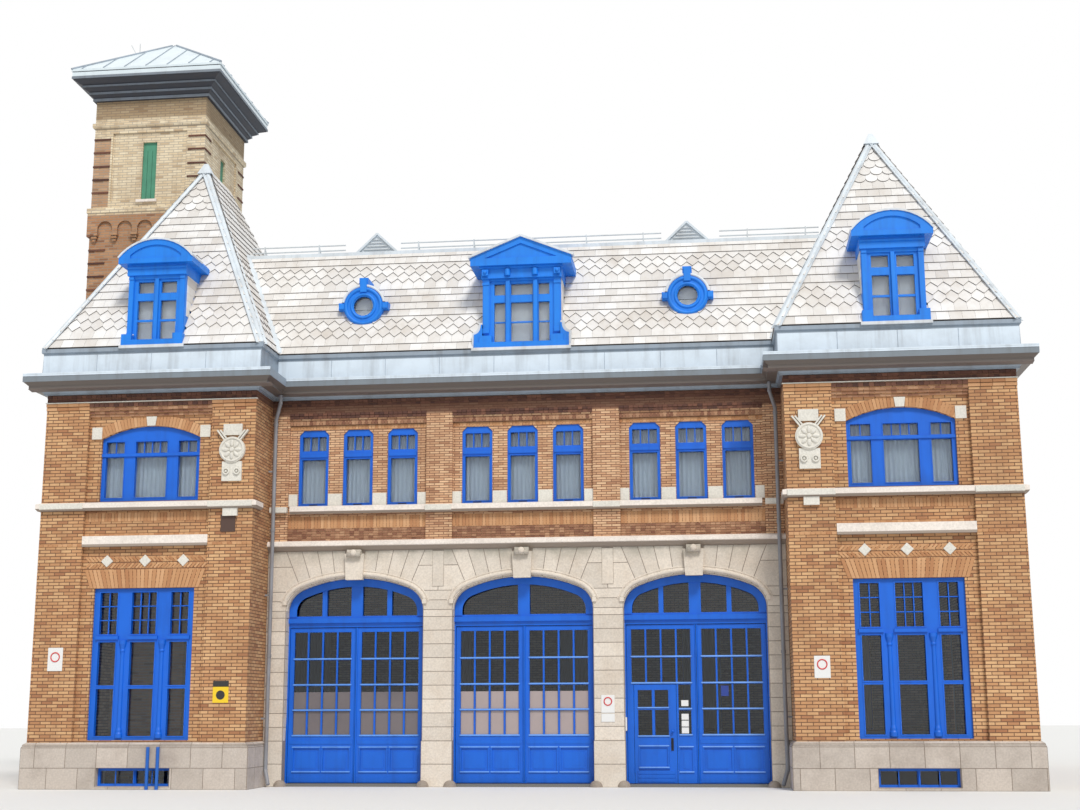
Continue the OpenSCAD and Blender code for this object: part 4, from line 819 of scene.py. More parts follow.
def slate_slope(name, foot_left, foot_right, top, outline, bands, seed, holes=()):
    """Slates a slope: its foot runs between two points and top is a point on its upper edge. The outline is a
    convex list of corners, as distances along the foot and up the slope; holes are [x0, x1, up0, up1]."""
    foot_left, foot_right, top = Vector(foot_left), Vector(foot_right), Vector(top)
    wide = (foot_right - foot_left).length
    across = (foot_right - foot_left) / wide
    up = (top - foot_left) - across * (top - foot_left).dot(across)
    height = up.length / sum(count for kind, count in bands)
    up.normalize()
    lie = Matrix.Translation(foot_left) @ Matrix((across, up, across.cross(up))).transposed().to_4x4()
    row = 0
    places = {"square": [], "diamond": [], "scallop": []}
    for kind, count in bands:
        for k in range(count):
            low = row * height
            for i in range(-1, int(wide / slate_width) + 2):
                x = (i + (0.5 if row % 2 else 0)) * slate_width
                if not any(h[0] < x < h[1] and h[2] < low + height / 2 < h[3] for h in holes):
                    places[kind].append(Matrix.Translation((x, low, 0)))
            row += 1
    for kind, laid in places.items():
        if not laid:
            continue
        pattern = slate_pattern(kind, height)
        bm = copies(pattern, laid)
        give_tones(bm, len(pattern.polygons), seed)
        for a, b in zip(outline, outline[1:] + outline[:1]):
            bmesh.ops.bisect_plane(bm, geom=bm.verts[:] + bm.edges[:] + bm.faces[:], dist=1e-5, plane_co=(*a, 0),
                                   plane_no=(b[1] - a[1], a[0] - b[0], 0), clear_outer=True)
        bmesh.ops.transform(bm, matrix=lie, verts=bm.verts[:])
        piece(f"{name}_{kind}_slates", bm, slates, "slate").data.materials.append(under_slates_shade)


def corners_of(wide, left_in, right_in, length):
    """A slope's corners: the width of its foot, how far each end of its top is set in, and its length."""
    return [(0, 0), (wide, 0), (wide - right_in, length), (left_in, length)]


eave_z, deck_z, ridge_z = 10.04, 13.03, 15.50
roof_out, ridge_half, edge_gap = 0.11, 0.07, 0.06
mansard_run, front_run, side_run = 1.63, 3.20, pavilion_outer - pavilion_middle + roof_out - ridge_half
pavilion_run, pavilion_rear = side_run + ridge_half, 6.0
mansard_rise, ridge_rise = deck_z - eave_z, ridge_z - eave_z
mansard_slope, front_slope, side_slope = [hypot(run, rise) for run, rise in (
    (mansard_run, mansard_rise), (front_run, ridge_rise), (side_run, ridge_rise))]
mansard_bands = (("square", 2), ("diamond", 3), ("square", 5), ("diamond", 3), ("square", 2))
pavilion_bands = (("square", 2), ("diamond", 3), ("square", 4), ("diamond", 3), ("square", 6), ("scallop", 6))
front_eave, front_foot = -roof_out, pavilion_face - roof_out
valley_foot = pavilion_middle - pavilion_run
valley_top = valley_foot + side_run * mansard_rise / ridge_rise
top_up = mansard_slope - edge_gap
dormer_up, all_along, hidden_up = 1.93, (-1, 99), 3.2
slate_slope("front", (-valley_top, front_eave, eave_z), (valley_top, front_eave, eave_z),
            (0, front_eave + mansard_run, deck_z),
            [(valley_top - valley_foot, 0), (valley_top + valley_foot, 0), (2 * valley_top, top_up), (0, top_up)],
            mansard_bands, 21, [(valley_top - 0.83, valley_top + 0.83, -1, dormer_up)])

depth = pavilion_rear - front_foot
for side, label in ((-1, "left"), (1, "right")):
    mid = side * pavilion_middle
    slate_slope(f"{label}_pavilion_front", (mid - pavilion_run, front_foot, eave_z),
                (mid + pavilion_run, front_foot, eave_z), (mid, front_foot + front_run, ridge_z),
                corners_of(2 * pavilion_run, side_run, side_run, front_slope), pavilion_bands, 22,
                [(pavilion_run - 0.66, pavilion_run + 0.66, -1, dormer_up)])
    for turn in (-1, 1):
        x = mid + turn * pavilion_run
        foot = [(x, front_foot, eave_z), (x, pavilion_rear, eave_z)][::turn]
        top = (mid + turn * ridge_half, front_foot + front_run, ridge_z)
        set_in = (front_run, side_run)[::turn]
        holes = []
        if side * turn < 0:
            deck_up = side_slope * mansard_rise / ridge_rise
            for k in range(8):
                low, high = k * deck_up / 8 - 0.2, (k + 1) * deck_up / 8 - 0.2
                kept = front_eave - front_foot + 0.4 + mansard_run * (k + 1) / 8
                holes.append((all_along[0], depth - kept, low, high) if turn < 0 else (kept, all_along[1], low, high))
        elif turn < 0:
            holes = [(all_along[0], depth - 7.3 + 2.6, -1, hidden_up)]
        slate_slope(f"{label}_pavilion_{'inner' if side * turn < 0 else 'outer'}", *foot, top,
                    corners_of(depth, *set_in, side_slope), pavilion_bands, 23 + turn, holes)
    slate_slope(f"{label}_pavilion_back", (mid + pavilion_run, pavilion_rear, eave_z),
                (mid - pavilion_run, pavilion_rear, eave_z), (mid, pavilion_rear - side_run, ridge_z),
                corners_of(2 * pavilion_run, side_run, side_run, side_slope), pavilion_bands, 25,
                [(*all_along, -1, hidden_up)])

rear_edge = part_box("rear_mansards")[1].y
side_eave = pavilion_outer + roof_out
side_deck = side_eave - mansard_rise * side_run / ridge_rise
slate_slope("rear", (side_eave, rear_edge, eave_z), (-side_eave, rear_edge, eave_z),
            (0, rear_edge - mansard_run, deck_z),
            corners_of(2 * side_eave, side_eave - side_deck, side_eave - side_deck, top_up), mansard_bands, 26)
side_up = hypot(mansard_rise, side_eave - side_deck) - edge_gap
tower_low, tower_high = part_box("tower_walls")
for side, label, start in ((-1, "left", tower_high.y - 0.08), (1, "right", pavilion_rear)):
    foot = [(side * side_eave, start - 1.2, eave_z), (side * side_eave, rear_edge, eave_z)][::side]
    slate_slope(f"{label}_side", *foot, (side * side_deck, start, deck_z),
                corners_of(rear_edge - start + 1.2, *(0, mansard_run)[::side], side_up), mansard_bands, 27)


def rod(bm, a, b, radius, segments=12):
    """Adds a straight round bar between two points."""
    a, b = Vector(a), Vector(b)
    along = b - a
    bmesh.ops.create_cone(bm, cap_ends=True, segments=segments, radius1=radius, radius2=radius, depth=along.length,
                          matrix=Matrix.Translation((a + b) / 2) @ along.to_track_quat("Z", "Y").to_matrix().to_4x4())


def strap(a, b, width, thick, out):
    """The place of a flat strip between two points, with its face towards out."""
    a, b = Vector(a), Vector(b)
    along = (b - a).normalized()
    across = along.cross(Vector(out)).normalized()
    turn = Matrix((along, across, across.cross(along))).transposed().to_4x4()
    return Matrix.Translation((a + b) / 2) @ turn @ Matrix.Diagonal(((b - a).length, width, thick, 1))


caps, straps = bmesh.new(), []
for side in (-1, 1):
    mid = side * pavilion_middle
    near_ridge = Vector((mid, front_foot + front_run, ridge_z + 0.02))
    far_ridge = Vector((mid, pavilion_rear - side_run, ridge_z + 0.02))
    rod(caps, near_ridge, far_ridge, 0.085)
    for turn in (-1, 1):
        near, far = [Vector((mid + turn * pavilion_run, y, eave_z)) for y in (front_foot, pavilion_rear)]
        rod(caps, near, near_ridge, 0.065)
        straps.append(strap(near, near_ridge, 0.30, 0.014, (turn * 0.9, -0.85, 0.7)))
        rod(caps, far.lerp(far_ridge, 0.56), far_ridge, 0.065)
    straps.append(strap((side * valley_foot, front_eave, eave_z),
                        (side * valley_top, front_eave + mansard_run, deck_z), 0.34, 0.22, (-side * 0.6, -0.8, 0.5)))
    bmesh.ops.create_cone(caps, cap_ends=True, segments=4, radius1=0.26, radius2=0.07, depth=0.30,
                          matrix=Matrix.Translation((mid, front_foot + front_run, ridge_z + 0.05))
                          @ Matrix.Rotation(pi / 4, 4, "Z"))
    rod(caps, (side * side_eave, rear_edge, eave_z), (side * side_deck, rear_edge - mansard_run, deck_z), 0.06)
piece("hip_and_ridge_caps", caps, flashing_metal, "roof_metal", smooth=True)
for half, deck_edge, before, behind in ((valley_top, front_eave + mansard_run, 0.10, 0.05),
                                        (side_deck, rear_edge - mansard_run, 0.05, 0.10)):
    straps.append(block(0, half, deck_edge - before, deck_edge + behind, 12.88, 13.045))
boxes("valley_and_edge_flashings", straps, flashing_metal, "roof_metal")

# Roof vents and snow guards
# Two small gabled vents of sheet metal with louvres stand on the deck's edge, between runs of two-rail guards.
rail_metal = painted("rail_metal", (0.62, 0.66, 0.69), 0.45, (0.35, 0.30, 0.26), 0.3, 0.2)
dress("roof_vents", flashing_metal)
dress("snow_rails", rail_metal)
louvres, verges = [], []
vent_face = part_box("roof_vents")[0].y
for bay in bays[::2]:
    for k in range(5):
        up = 0.07 + k * 0.085
        louvres.append(turned((bay, vent_face - 0.012, deck_z + up), radians(35), "X",
                              (0.94 * (1 - up / 0.56), 0.05, 0.016)))
    verges += [strap((bay + side * 0.58, vent_face - 0.02, deck_z + 0.01), (bay, vent_face - 0.02, deck_z + 0.565),
                     0.07, 0.05, (side * 0.5, 0, 1)) for side in (-1, 1)]
boxes("vent_louvres", louvres, rail_metal, "roof_metal")
boxes("vent_verges", verges, flashing_metal, "roof_metal")
stays = bmesh.new()
for x in (-6.83, -5.41, -2.84, -1.42, 0, 1.42, 2.84, 5.41, 6.83):
    rod(stays, (x, 1.62, deck_z + 0.27), (x, 1.95, deck_z + 0.01), 0.012, 8)
piece("snow_guard_stays", stays, rail_metal, "rail_metal")

# Dormers and round windows
# Wooden dormers painted bright blue: a pedimented one in the middle, curved hoods on the pavilions, and two
# round windows with keystones and ears. White metal drips cap them and slates clad their cheeks.
blue_paint = painted("blue_paint", (0.0, 0.125, 0.66), 0.45, (0.0, 0.05, 0.30), 0.22, 0.3)
dormer_paint = painted("dormer_paint", (0.004, 0.215, 0.80), 0.5, (0.01, 0.09, 0.36), 0.25, 0.35)
drip_metal = painted("drip_metal", (0.70, 0.74, 0.79), 0.4, (0.30, 0.28, 0.25), 0.35, 0.3)
dress("centre_dormer pavilion_dormers round_windows", dormer_paint)
dormer_face, hood_face, dormer_foot = -0.06, pavilion_face + 0.02, 10.06
drips = [block(0, 1.18, front_eave - 0.10, front_eave + 0.02, 10.0, 10.07)]
trim = [block(x, half, dormer_face - out, dormer_face - inner, z0, z1) for x, half, out, inner, z0, z1 in (
    (-0.33, 0.05, 0.035, -0.02, 10.16, 11.72), (0.33, 0.05, 0.035, -0.02, 10.16, 11.72),
    (0, 0.965, 0.075, 0.05, 11.77, 11.80), (0, 1.0, 0.11, 0.05, 12.01, 12.06), (0, 0.90, 0.165, 0.15, 12.265, 12.285))]
trim.append(block(0, 1.13, front_eave - 0.085, dormer_face + 0.03, dormer_foot, 10.20))
hood_trim = [block(pavilion_middle, 0.72, hood_face - 0.10, hood_face - 0.055, 11.95, 12.00),
             block(pavilion_middle, 0.045, hood_face - 0.03, hood_face + 0.02, 10.16, 11.72),
             block(pavilion_middle, 0.74, front_foot - 0.085, hood_face + 0.03, dormer_foot, 10.20)]
bosses = bmesh.new()
for side in (-1, 1):
    drips.append(strap((side * 1.26, dormer_face - 0.12, 12.265), (0, dormer_face - 0.12, 12.775), 0.26, 0.05,
                       (side * 0.4, 0, 1)))
    trim += [strap((side * 0.86, dormer_face - 0.175, 12.285), (0, dormer_face - 0.175, 12.62), 0.03, 0.035,
                   (side * 0.4, 0, 1)),
             block(side * 0.86, 0.075, dormer_face - 0.145, dormer_face - 0.11, 11.83, 11.98),
             block(side * 0.85, 0.15, front_eave - 0.08, dormer_face + 0.03, dormer_foot, 10.36)]
    trim += [block(side * 0.857, 0.085, dormer_face - 0.045, dormer_face, z0, z1)
             for z0, z1 in ((11.62, 11.68), (10.44, 10.56))]
    hood_x = pavilion_middle + side * 0.625
    hood_trim += [block(hood_x, 0.06, hood_face - 0.045, hood_face, z0, z1)
                  for z0, z1 in ((11.70, 11.76), (10.30, 10.42))]
    hood_trim.append(block(hood_x - side * 0.005, 0.12, front_foot - 0.08, hood_face + 0.03, dormer_foot, 10.34))
    rod(bosses, (side * 0.33, dormer_face - 0.075, 11.83), (side * 0.33, dormer_face - 0.075, 11.99), 0.07, 16)
    bmesh.ops.create_uvsphere(bosses, u_segments=12, v_segments=8, radius=0.045,
                              matrix=Matrix.Translation((side * 0.86, dormer_face - 0.15, 11.905)))
boxes("dormer_mouldings", trim + both_sides(hood_trim), dormer_paint, "blue_wood", bevel=0.006)
piece("dormer_bosses", bosses, dormer_paint, "blue_wood", smooth=True)

hood_top, hood_steps = 12.64, 14
hood_radius, hood_reach = arc(0.90, 0.44)
hood_drips = fan(pavilion_middle, hood_top - hood_radius, hood_reach, hood_steps,
                 block(0, hood_radius * hood_reach / hood_steps * 1.03, hood_face - 0.225, hood_face + 0.5,
                       hood_radius - 0.012, hood_radius + 0.03))
hood_drips.append(block(pavilion_middle, 0.78, front_foot - 0.10, front_foot + 0.02, 10.0, 10.07))
boxes("dormer_drips", drips + both_sides(hood_drips), drip_metal, "roof_metal")

curve = [(1.13 - 0.17 * sin(radians(15 * k)), 10.64 - 0.24 * cos(radians(15 * k))) for k in range(7)]
ear = [(0.93, dormer_foot), (1.13, dormer_foot), *curve, (0.93, 10.64)]
for name, material, slot, grown, near, far in (("dormer_ears", dormer_paint, "blue_wood", 0.0, -0.10, 0.12),
                                               ("dormer_ear_flashings", drip_metal, "roof_metal", 0.05, -0.07, 0.20)):
    bm = bmesh.new()
    for side in (-1, 1):
        corners = [(side * (x + (grown if x > 0.94 else 0)), dormer_face + near, z + (grown if z > 10.3 else 0))
                   for x, z in ear]
        thicken(bm, bm.faces.new([bm.verts.new(corner) for corner in corners]), (0, far - near, 0))
    piece(name, bm, material, slot)


def cheek_slates(middle, reach, face, foot, pitch, least):
    """Rows of narrow slates on both cheeks of a dormer, each from its face back to the roof."""
    heights = [10.25 + k * 0.19 for k in range(9)]
    rows = [(z, foot + (z - eave_z) * pitch) for z in heights]
    return [block(middle + side * reach, 0.008, face + 0.12, back, z, z + 0.184) for z, back in rows
            for side in (-1, 1) if back > face + least]


cheeks = cheek_slates(0, 0.938, dormer_face, front_eave, mansard_run / mansard_rise, 0.25)
cheeks += both_sides(cheek_slates(pavilion_middle, 0.693, hood_face, front_foot, front_run / ridge_rise, 0.22))
boxes("dormer_cheek_slates", cheeks, slates, "slate", seed=31)

round_face, round_z = 0.30, 11.32
collars, round_trim = bmesh.new(), []
for bay in bays[::2]:
    add_ring(collars, (bay, round_face + 0.005, round_z), 0.515, 0.035, 12, 48)
    round_trim.append(block(bay, 0.085, round_face - 0.05, round_face + 0.02, 11.66, 12.02))
    round_trim += [block(x, 0.065, round_face - 0.03, round_face + 0.02, 11.25, 11.39)
                   for x in (bay - 0.535, bay + 0.535)]
bmesh.ops.bisect_plane(collars, geom=collars.verts[:] + collars.edges[:] + collars.faces[:], dist=1e-5,
                       plane_co=(0, 0, round_z + 0.1), plane_no=(0, 0, -1), clear_outer=True)
piece("round_window_collars", collars, drip_metal, "roof_metal", smooth=True)
boxes("round_window_keys", round_trim, dormer_paint, "blue_wood", bevel=0.01)

# Windows
# Blue wooden frames with thin glazing bars and moulded edges round the lights, clear panes, and pale pleated
# curtains or blinds behind them.
def clear_glass(name, tint, roughness):
    """Clear glass of a tint."""
    material = plain_material(name, tint, roughness)
    shader = material.node_tree.nodes["Principled BSDF"]
    shader.inputs["Transmission Weight"].default_value = 1.0
    shader.inputs["IOR"].default_value = 1.45
    return material


window_pane = clear_glass("window_pane", (0.82, 0.88, 0.93), 0.02)
door_pane = clear_glass("door_pane", (0.42, 0.50, 0.58), 0.03)
dark_iron = plain_material("dark_iron", (0.03, 0.03, 0.035), 0.4, 0.6)
dress("window_glass", window_pane)
dress("pavilion_windows upper_front_windows rear_windows", blue_paint)
dress("dormer_windows", dormer_paint)


def bars(x0, x1, z0, z1, cols, rows, y0, y1, thick=0.022):
    """Thin bars that part a light into columns and rows."""
    made = []
    for i in range(1, cols):
        x = x0 + (x1 - x0) * i / cols
        made.append(box(x - thick / 2, x + thick / 2, y0, y1, z0, z1))
    for i in range(1, rows):
        z = z0 + (z1 - z0) * i / rows
        made.append(box(x0, x1, y0, y1, z - thick / 2, z + thick / 2))
    return made


def sash(x0, x1, z0, z1, y0, y1, wide=0.028):
    """A moulded edge round a light, standing in front of its frame."""
    return [box(x0 - wide, x1 + wide, y0, y1, z0 - wide, z0), box(x0 - wide, x1 + wide, y0, y1, z1, z1 + wide),
            box(x0 - wide, x0, y0, y1, z0, z1), box(x1, x1 + wide, y0, y1, z0, z1)]


big_frame = pavilion_face + 0.17
big_bar_y, big_edge_y = (big_frame + 0.03, big_frame + 0.07), (big_frame - 0.012, big_frame + 0.01)
ground_bars = []
for x, half, cols in ((-0.835, 0.205, 2), (0, 0.29, 3), (0.835, 0.205, 2)):
    x0, x1 = pavilion_middle + x - half, pavilion_middle + x + half
    ground_bars += bars(x0, x1, 3.41, 4.35, cols, 3, *big_bar_y)
    for z0, z1 in ((1.15, 2.19), (2.27, 3.23), (3.41, 4.35)):
        ground_bars += sash(x0, x1, z0, z1, *big_edge_y)
    ground_bars.append(box(x0 - 0.06, x1 + 0.06, big_frame - 0.05, big_frame, 3.29, 3.37))
for x, half, cols in ((-0.87, 0.22, 2), (0, 0.38, 4), (0.87, 0.22, 2)):
    x0, x1 = pavilion_middle + x - half, pavilion_middle + x + half
    ground_bars += bars(x0, x1, 7.57, 7.84, cols, 1, *big_bar_y)
    for z0, z1 in ((6.53, 7.48), (7.57, 7.84)):
        ground_bars += sash(x0, x1, z0, z1, *big_edge_y, 0.022)
ground_bars.append(block(pavilion_middle, window_half, big_frame - 0.035, big_frame, 7.49, 7.56))
for x in (pavilion_middle - 0.42, pavilion_middle, pavilion_middle + 0.42):
    ground_bars += bars(x - 0.35, x + 0.35, 0.12, 0.40, 2, 1, pavilion_face + 0.02, pavilion_face + 0.045, 0.018)
boxes("pavilion_glazing_bars", both_sides(ground_bars), blue_paint, "blue_wood")

slim_pitch, slim_half, slim_frame = 1.07, 0.288, 0.11
front_slim = [bay + i * slim_pitch for bay in bays for i in (-1, 0, 1)]
slim_bars = []
for x in front_slim:
    x0, x1 = x - slim_half, x + slim_half
    slim_bars += bars(x0, x1, 7.74, 8.08, 3, 1, slim_frame + 0.01, slim_frame + 0.07, 0.026)
    slim_bars += sash(x0, x1, 6.48, 7.53, slim_frame - 0.012, slim_frame + 0.01, 0.02)
    slim_bars.append(block(x, 0.33, slim_frame - 0.03, slim_frame, 7.58, 7.66))
boxes("slim_glazing_bars", slim_bars, blue_paint, "blue_wood")
boxes("finger_slots", [block(x, 0.10, slim_frame - 0.004, slim_frame + 0.01, 6.435, 6.462) for x in front_slim],
      dark_iron, "rail_metal")


def tall_bars(x, *y):
    """The bars of one of the lower windows of the back and the sides."""
    return (bars(x - 0.52, x - 0.04, 3.30, 4.16, 2, 2, *y) + bars(x + 0.04, x + 0.52, 3.30, 4.16, 2, 2, *y)
            + bars(x - 0.52, x + 0.52, 1.15, 3.15, 1, 2, *y, 0.04))


def top_bars(x, *y):
    """The bars in the top light of one of the slim upper windows of the back and the sides."""
    return bars(x - slim_half, x + slim_half, 7.74, 8.08, 4, 1, *y, 0.018)


rear_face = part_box("rear_wall")[1].y
rear_lower = (-pavilion_middle, pavilion_middle, *bays)
rear_slim = front_slim + [s * pavilion_middle + i * slim_pitch / 2 for s in (-1, 1) for i in (-1, 1)]
rear_bars = []
for x in rear_lower:
    rear_bars += tall_bars(x, rear_face - 0.16, rear_face - 0.12)
for x in rear_slim:
    rear_bars += top_bars(x, rear_face - 0.16, rear_face - 0.12)
side_places = [(1, y) for y in (1.8, 3.8, 5.7, 7.6, 9.6, 11.6)] + [(-1, y) for y in (7.6, 9.6, 11.6)]
quarter = Matrix.Rotation(pi / 2, 4, "Z")
for side, y in side_places:
    facing = Matrix.Translation((side * (pavilion_outer - 0.14), y, 0)) @ quarter
    rear_bars += [facing @ p for p in tall_bars(0, -0.02, 0.02) + top_bars(0, -0.02, 0.02)]
boxes("rear_glazing_bars", rear_bars, blue_paint, "blue_wood")

dormer_bars, hood_bars = [], []
for x, half, thick in ((0, 0.26, 0.035), (-0.53, 0.13, 0.03), (0.53, 0.13, 0.03)):
    dormer_bars += bars(x - half, x + half, 10.23, 11.20, 1, 2, 0.0, 0.04, thick)
for x in (pavilion_middle - 0.28, pavilion_middle + 0.28):
    hood_bars += bars(x - 0.19, x + 0.19, 10.23, 11.20, 1, 2, pavilion_face + 0.08, pavilion_face + 0.12, 0.05)
boxes("dormer_glazing_bars", dormer_bars + both_sides(hood_bars), dormer_paint, "blue_wood")

# Uneven threads of a cloth: thin upright streaks between two tones
threads, threads_in, threads_out = node_group("threads", ("Dark", "Light"), (), Colour="Color")
drawn_out = add(threads, "Mapping", {"Vector": on_object(threads), "Scale": (60, 60, 2.5)}).outputs[0]
woven = mix(threads, noise(threads, 1.0, place=drawn_out), threads_in["Dark"], threads_in["Light"])
give_out(threads, threads_out, Colour=woven)


def cloth(name, dark, light):
    """A thin woven cloth with threads of two tones."""
    material = plain_material(name, light, 0.9)
    finish_with(material, Base_Color=place_group(material.node_tree, threads, Dark=dark, Light=light)["Colour"])
    return material


curtain_cloth = cloth("curtain_cloth", (0.47, 0.53, 0.59), (0.56, 0.62, 0.68))


def curtain(name, x, half, z0, z1, y, windows, facing=None):
    """One gathered curtain that hangs behind a pane."""
    bm = bmesh.new()
    x0, x1 = x - half, x + half
    lie = Matrix.Translation(((x0 + x1) / 2, y, (z0 + z1) / 2)) @ to_street @ Matrix.Diagonal(
        ((x1 - x0) / 2, (z1 - z0) / 2, 1, 1))
    made = bmesh.ops.create_grid(bm, x_segments=int((x1 - x0) / 0.02), y_segments=1, size=1, matrix=lie)
    for v in made["verts"]:
        v.co.y += 0.014 * sin(v.co.x * 62)
    if facing:
        bmesh.ops.transform(bm, matrix=facing, verts=made["verts"])
    cut_width = sum(face.calc_area() for face in bm.faces) / (z1 - z0)
    piece(name, bm, curtain_cloth, "window_glass")


low_part, high_part = (1.10, 4.20), (6.44, 8.12)
for i, x in enumerate(front_slim, 1):
    curtain(f"front_curtain_{i}", x, 0.32, *high_part, 0.30, "upper_front_windows")
for i, x in enumerate((-pavilion_middle, pavilion_middle), 1):
    curtain(f"pavilion_curtain_{i}", x, 1.15, 6.46, 7.90, pavilion_face + 0.36, "pavilion_windows")
for i, x in enumerate(rear_slim, 1):
    curtain(f"rear_upper_curtain_{i}", x, 0.32, *high_part, rear_face - 0.30, "rear_windows")
for i, x in enumerate(rear_lower, 1):
    curtain(f"rear_lower_curtain_{i}", x, 0.56, *low_part, rear_face - 0.30, "rear_windows")
for i, (side, y) in enumerate(side_places, 1):
    facing = Matrix.Translation((side * (pavilion_outer - 0.30), y, 0)) @ quarter
    curtain(f"side_lower_curtain_{i}", 0, 0.56, *low_part, 0.0, "rear_windows", facing)
    curtain(f"side_upper_curtain_{i}", 0, 0.32, *high_part, 0.0, "rear_windows", facing)

blind_cloth = cloth("blind_cloth", (0.80, 0.77, 0.74), (0.90, 0.87, 0.84))
for i, bay in enumerate(bays[::2], 1):
    disc = bmesh.new()
    rod(disc, (bay, 0.50, round_z), (bay, 0.505, round_z), 0.235, 32)
    piece(f"round_blind_{i}", disc, blind_cloth, "window_glass")
for name, x, width, y in (("hood_blind_1", -pavilion_middle, 1.04, pavilion_face + 0.25),
                          ("hood_blind_2", pavilion_middle, 1.04, pavilion_face + 0.25),
                          ("centre_blind", 0, 1.44, 0.15)):
    place = block(x, width / 2, y, y + 0.005, 10.18, 11.70)
    boxes(name, [place], blind_cloth, "window_glass")

# Tower
# A brick shaft for drying hoses, buff above and orange-red below, with pale string courses, quoin bands, a corbel
# table and a green shutter. Its pyramid roof is sheet metal with standing seams.
tower_mid = Vector(((tower_low.x + tower_high.x) / 2, (tower_low.y + tower_high.y) / 2, 0))
tower_face, tower_side = tower_low.y + 0.06, tower_high.x - 0.06
tower_bricks = plain_material("tower_bricks", (0.6, 0.5, 0.35), 0.88)
tree = tower_bricks.node_tree
along, height = wall_coordinates(tree)
laid = {"Along": along, "Height": height, "Course": 0.072, "Length": 0.25, "Joint": 0.010}
buff = place_group(tree, brickwork, Pale=(0.84, 0.73, 0.53), Middle=(0.74, 0.60, 0.40), Burnt=(0.52, 0.39, 0.25),
                   Mortar=(0.50, 0.43, 0.34), **laid)
red = place_group(tree, brickwork, Pale=(0.50, 0.27, 0.14), Middle=(0.40, 0.185, 0.085), Burnt=(0.20, 0.09, 0.05),
                  Mortar=(0.33, 0.25, 0.19), **laid)
quoin = maths(tree, "MULTIPLY", maths(tree, "LESS_THAN", axes(tree)["X"], tower_mid.x - 1.07),
              maths(tree, "LESS_THAN", axes(tree)["Y"], tower_low.y + 0.52))
banded = maths(tree, "MULTIPLY", spread(tree, height, 14.80, 14.804), spread(tree, height, 16.704, 16.70))
quoin = maths(tree, "MULTIPLY", maths(tree, "MULTIPLY", quoin, banded), 0.8)
colour = mix(tree, spread(tree, height, 14.55, 14.58), red["Colour"], buff["Colour"])
colour = mix(tree, quoin, colour, red["Colour"])
# Darker courses under the eaves: partly soot, partly painted shade of the eaves
colour = mix(tree, spread(tree, height, 17.22, 17.30), colour, tint_by(tree, colour, (0.50, 0.44, 0.38)))
worn = place_group(tree, weather, Colour=colour, Dirt=(0.30, 0.20, 0.12), Blotches=0.3, Runs=0.35, Size=0.7)
finish_with(tower_bricks, Base_Color=worn["Colour"], Normal=bump(tree, buff["Face"], 0.6, 0.006))
# The eave underside is near black as painted shade, and its step fillets lighter blue-grey as painted highlight
tower_eaves_shade = painted("tower_eaves_shade", (0.042, 0.047, 0.062), 0.6, (0.06, 0.05, 0.05), 0.3, 0.4)
eave_fillet_highlight = painted("eave_fillet_highlight", (0.19, 0.22, 0.26), 0.6, (0.09, 0.09, 0.09), 0.3, 0.4)
shutter_green = painted("shutter_green", (0.07, 0.27, 0.17), 0.6, (0.03, 0.09, 0.06), 0.4, 0.5)
tower_sheet = painted("tower_sheet", (0.70, 0.78, 0.82), 0.38, (0.50, 0.56, 0.60), 0.3, 0.3)
dress("tower_walls", tower_bricks)
dress("tower_cornice", tower_eaves_shade)
dress("tower_shutter", shutter_green)
dress("tower_roof", tower_sheet)

roof_low, roof_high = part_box("tower_roof")
seams = bmesh.new()
half_x, half_y = (roof_high.x - roof_low.x) / 2, (roof_high.y - roof_low.y) / 2
eave, peak = roof_low.z + 0.065, roof_high.z
for turn in range(4):
    facing = Matrix.Translation(tower_mid) @ Matrix.Rotation(turn * pi / 2, 4, "Z")
    reach, across, tip_reach, tip_across = ((half_y, half_x, 0.18, 0.06), (half_x, half_y, 0.06, 0.18))[turn % 2]
    for i in range(-3, 4):
        x = i * across / 3.5
        share = min(1, (across - abs(x)) / (across - tip_across))
        rod(seams, facing @ Vector((x, -reach, eave)),
            facing @ Vector((x, -reach - (tip_reach - reach) * share, eave + (peak - eave) * share)), 0.020, 6)
    rod(seams, facing @ Vector((-across, -reach, eave)), facing @ Vector((-tip_across, -tip_reach, peak)), 0.035, 8)
piece("tower_roof_seams", seams, cornice_metal, "roof_metal")

corner_low, corner_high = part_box("tower_cornice")
edge = 0.012
boxes("tower_fascia", [box(x0, x1, y0, y1, corner_high.z - 0.13, corner_high.z - 0.02) for x0, x1, y0, y1 in (
    (corner_low.x - edge, corner_high.x + edge, corner_low.y - edge, corner_low.y),
    (corner_high.x, corner_high.x + edge, corner_low.y, corner_high.y))], tower_sheet, "grey_wood")
fillets = []
for out, z0, z1 in ((0.06, 17.765, 17.84), (0.15, 17.925, 17.985), (0.29, 18.085, 18.135), (0.50, 18.255, 18.32)):
    face, side = tower_face - out, tower_side + out
    fillets += [box(tower_low.x + 0.06 - out, side + 0.008, face - 0.008, face + 0.01, z0, z1),
                box(side - 0.01, side + 0.008, face, tower_high.y - 0.06 + out, z0, z1)]
boxes("tower_eave_fillets", fillets, eave_fillet_highlight, "grey_wood")

# Dark strips in the quoin grooves: painted shadow of the recessed joints, with some soot
groove_shadows, groove_half = [], 0.23
for z in (15.19, 15.55, 15.92, 16.31, 16.68, 13.60, 13.24, 12.88, 12.52, 12.16, 11.80):
    for side in (-1, 1):
        x, y = tower_mid.x + side * 1.3, tower_mid.y + side * 1.42
        groove_shadows += [block(x, groove_half, tower_face - 0.004, tower_face + 0.02, z - 0.012, z + 0.034),
                    box(tower_side - 0.02, tower_side + 0.004, y - groove_half, y + groove_half, z - 0.012,
                        z + 0.034)]
boxes("quoin_groove_shadows", groove_shadows, dark_red_bricks_and_shade, "tower_brick", seed=6)

